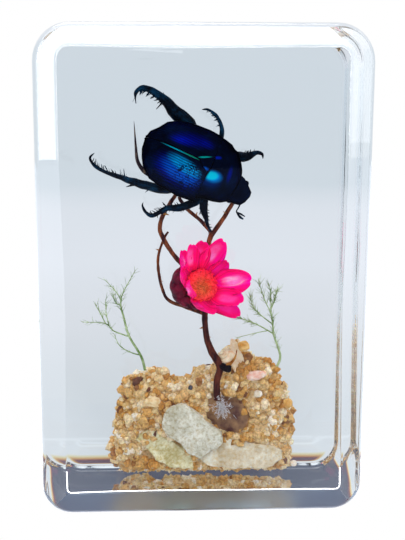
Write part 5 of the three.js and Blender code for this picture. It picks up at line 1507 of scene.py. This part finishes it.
for name, (points, radii, spines) in LEGS.items():
    leg = bmesh.new()
    leg_path = smooth_path(points, 7)
    sweep(leg, leg_path, [radius * MM for radius in radii], 14, 0.8)
    for first, last, side, count, length in COMBS[name]:
        for i in range(count):
            step = round((first + (last - first) * i / (count - 1)) * (len(leg_path) - 1))
            ahead = (leg_path[min(step + 1, len(leg_path) - 1)] - leg_path[step - 1]).normalized()
            outward = Vector((-ahead.z * side, -0.3, ahead.x * side))
            thick = radii[min(len(radii) - 1, round(step / (len(leg_path) - 1) * (len(radii) - 1)))]
            root = leg_path[step] + outward * thick * 0.7 * MM
            reach = length * draw.uniform(0.7, 1.2) * MM
            aim = (outward + ahead * draw.uniform(0.3, 0.9)).normalized()
            sweep(leg, [root, root + aim * reach / 2, root + aim * reach],
                  [0.16 * MM, 0.1 * MM, 0.03 * MM], 5)
    for root, tip, radius in spines:
        middle = [(a + b) / 2 for a, b in zip(root, tip)]
        sweep(leg, smooth_path([root, middle, tip], 2), [radius * MM, radius * 0.6 * MM, 0.04 * MM], 6)
    bmesh.ops.recalc_face_normals(leg, faces=leg.faces)
    leg.normal_update()
    for vert in leg.verts:
        vert.co += vert.normal * 0.16 * MM * noise.noise(vert.co * 620)
    finish_piece(name + "_shin", leg, [leg_material], "beetle_leg", name)

FEELER = [
    ([(9.9, 3, 69.9), (9.3, 2.8, 68.7), (8.8, 2.6, 67.8), (9.2, 2.5, 67)], (0.22, 0.16, 0.2)),
    ([(9, 2.5, 67.3), (9.7, 2.4, 66.4), (10.5, 2.3, 65.9)], (0.2, 0.34, 0.16)),
    ([(8.9, 2.6, 67.6), (9.9, 2.9, 67.1), (10.9, 3, 66.5)], (0.16, 0.24, 0.12)),
]
feeler = bmesh.new()
for points, radii in FEELER:
    sweep(feeler, smooth_path(points, 4), [radius * MM for radius in radii], 8)
bmesh.ops.recalc_face_normals(feeler, faces=feeler.faces)
finish_piece("feeler_right", feeler, [leg_material], "beetle_leg", "antenna_right")

WING_POINTS = [(-11.9, 3.4, 76.4), (-13.6, 2.8, 77.6), (-15.1, 2.4, 80), (-15.5, 2.2, 83.4),
               (-15.7, 2.2, 86.4), (-15.9, 2.2, 89.5)]
WING_RADII = (0.9, 0.95, 0.75, 0.5, 0.3, 0.05)
wing = bmesh.new()
sweep(wing, smooth_path(WING_POINTS, 8), [radius * MM for radius in WING_RADII], 12, 0.55)
bmesh.ops.recalc_face_normals(wing, faces=wing.faces)
wing_material = mottled_material("wing_membrane", 0.35, scale=500, stretch=(1, 1, 0.3),
                                 dark=(0.02, 0.012, 0.02, 1), light=(0.36, 0.24, 0.15, 1), low=0.54,
                                 high=0.66)
finish_piece("wing_tip", wing, [wing_material], "wing_membrane", "hind_wing_tip")
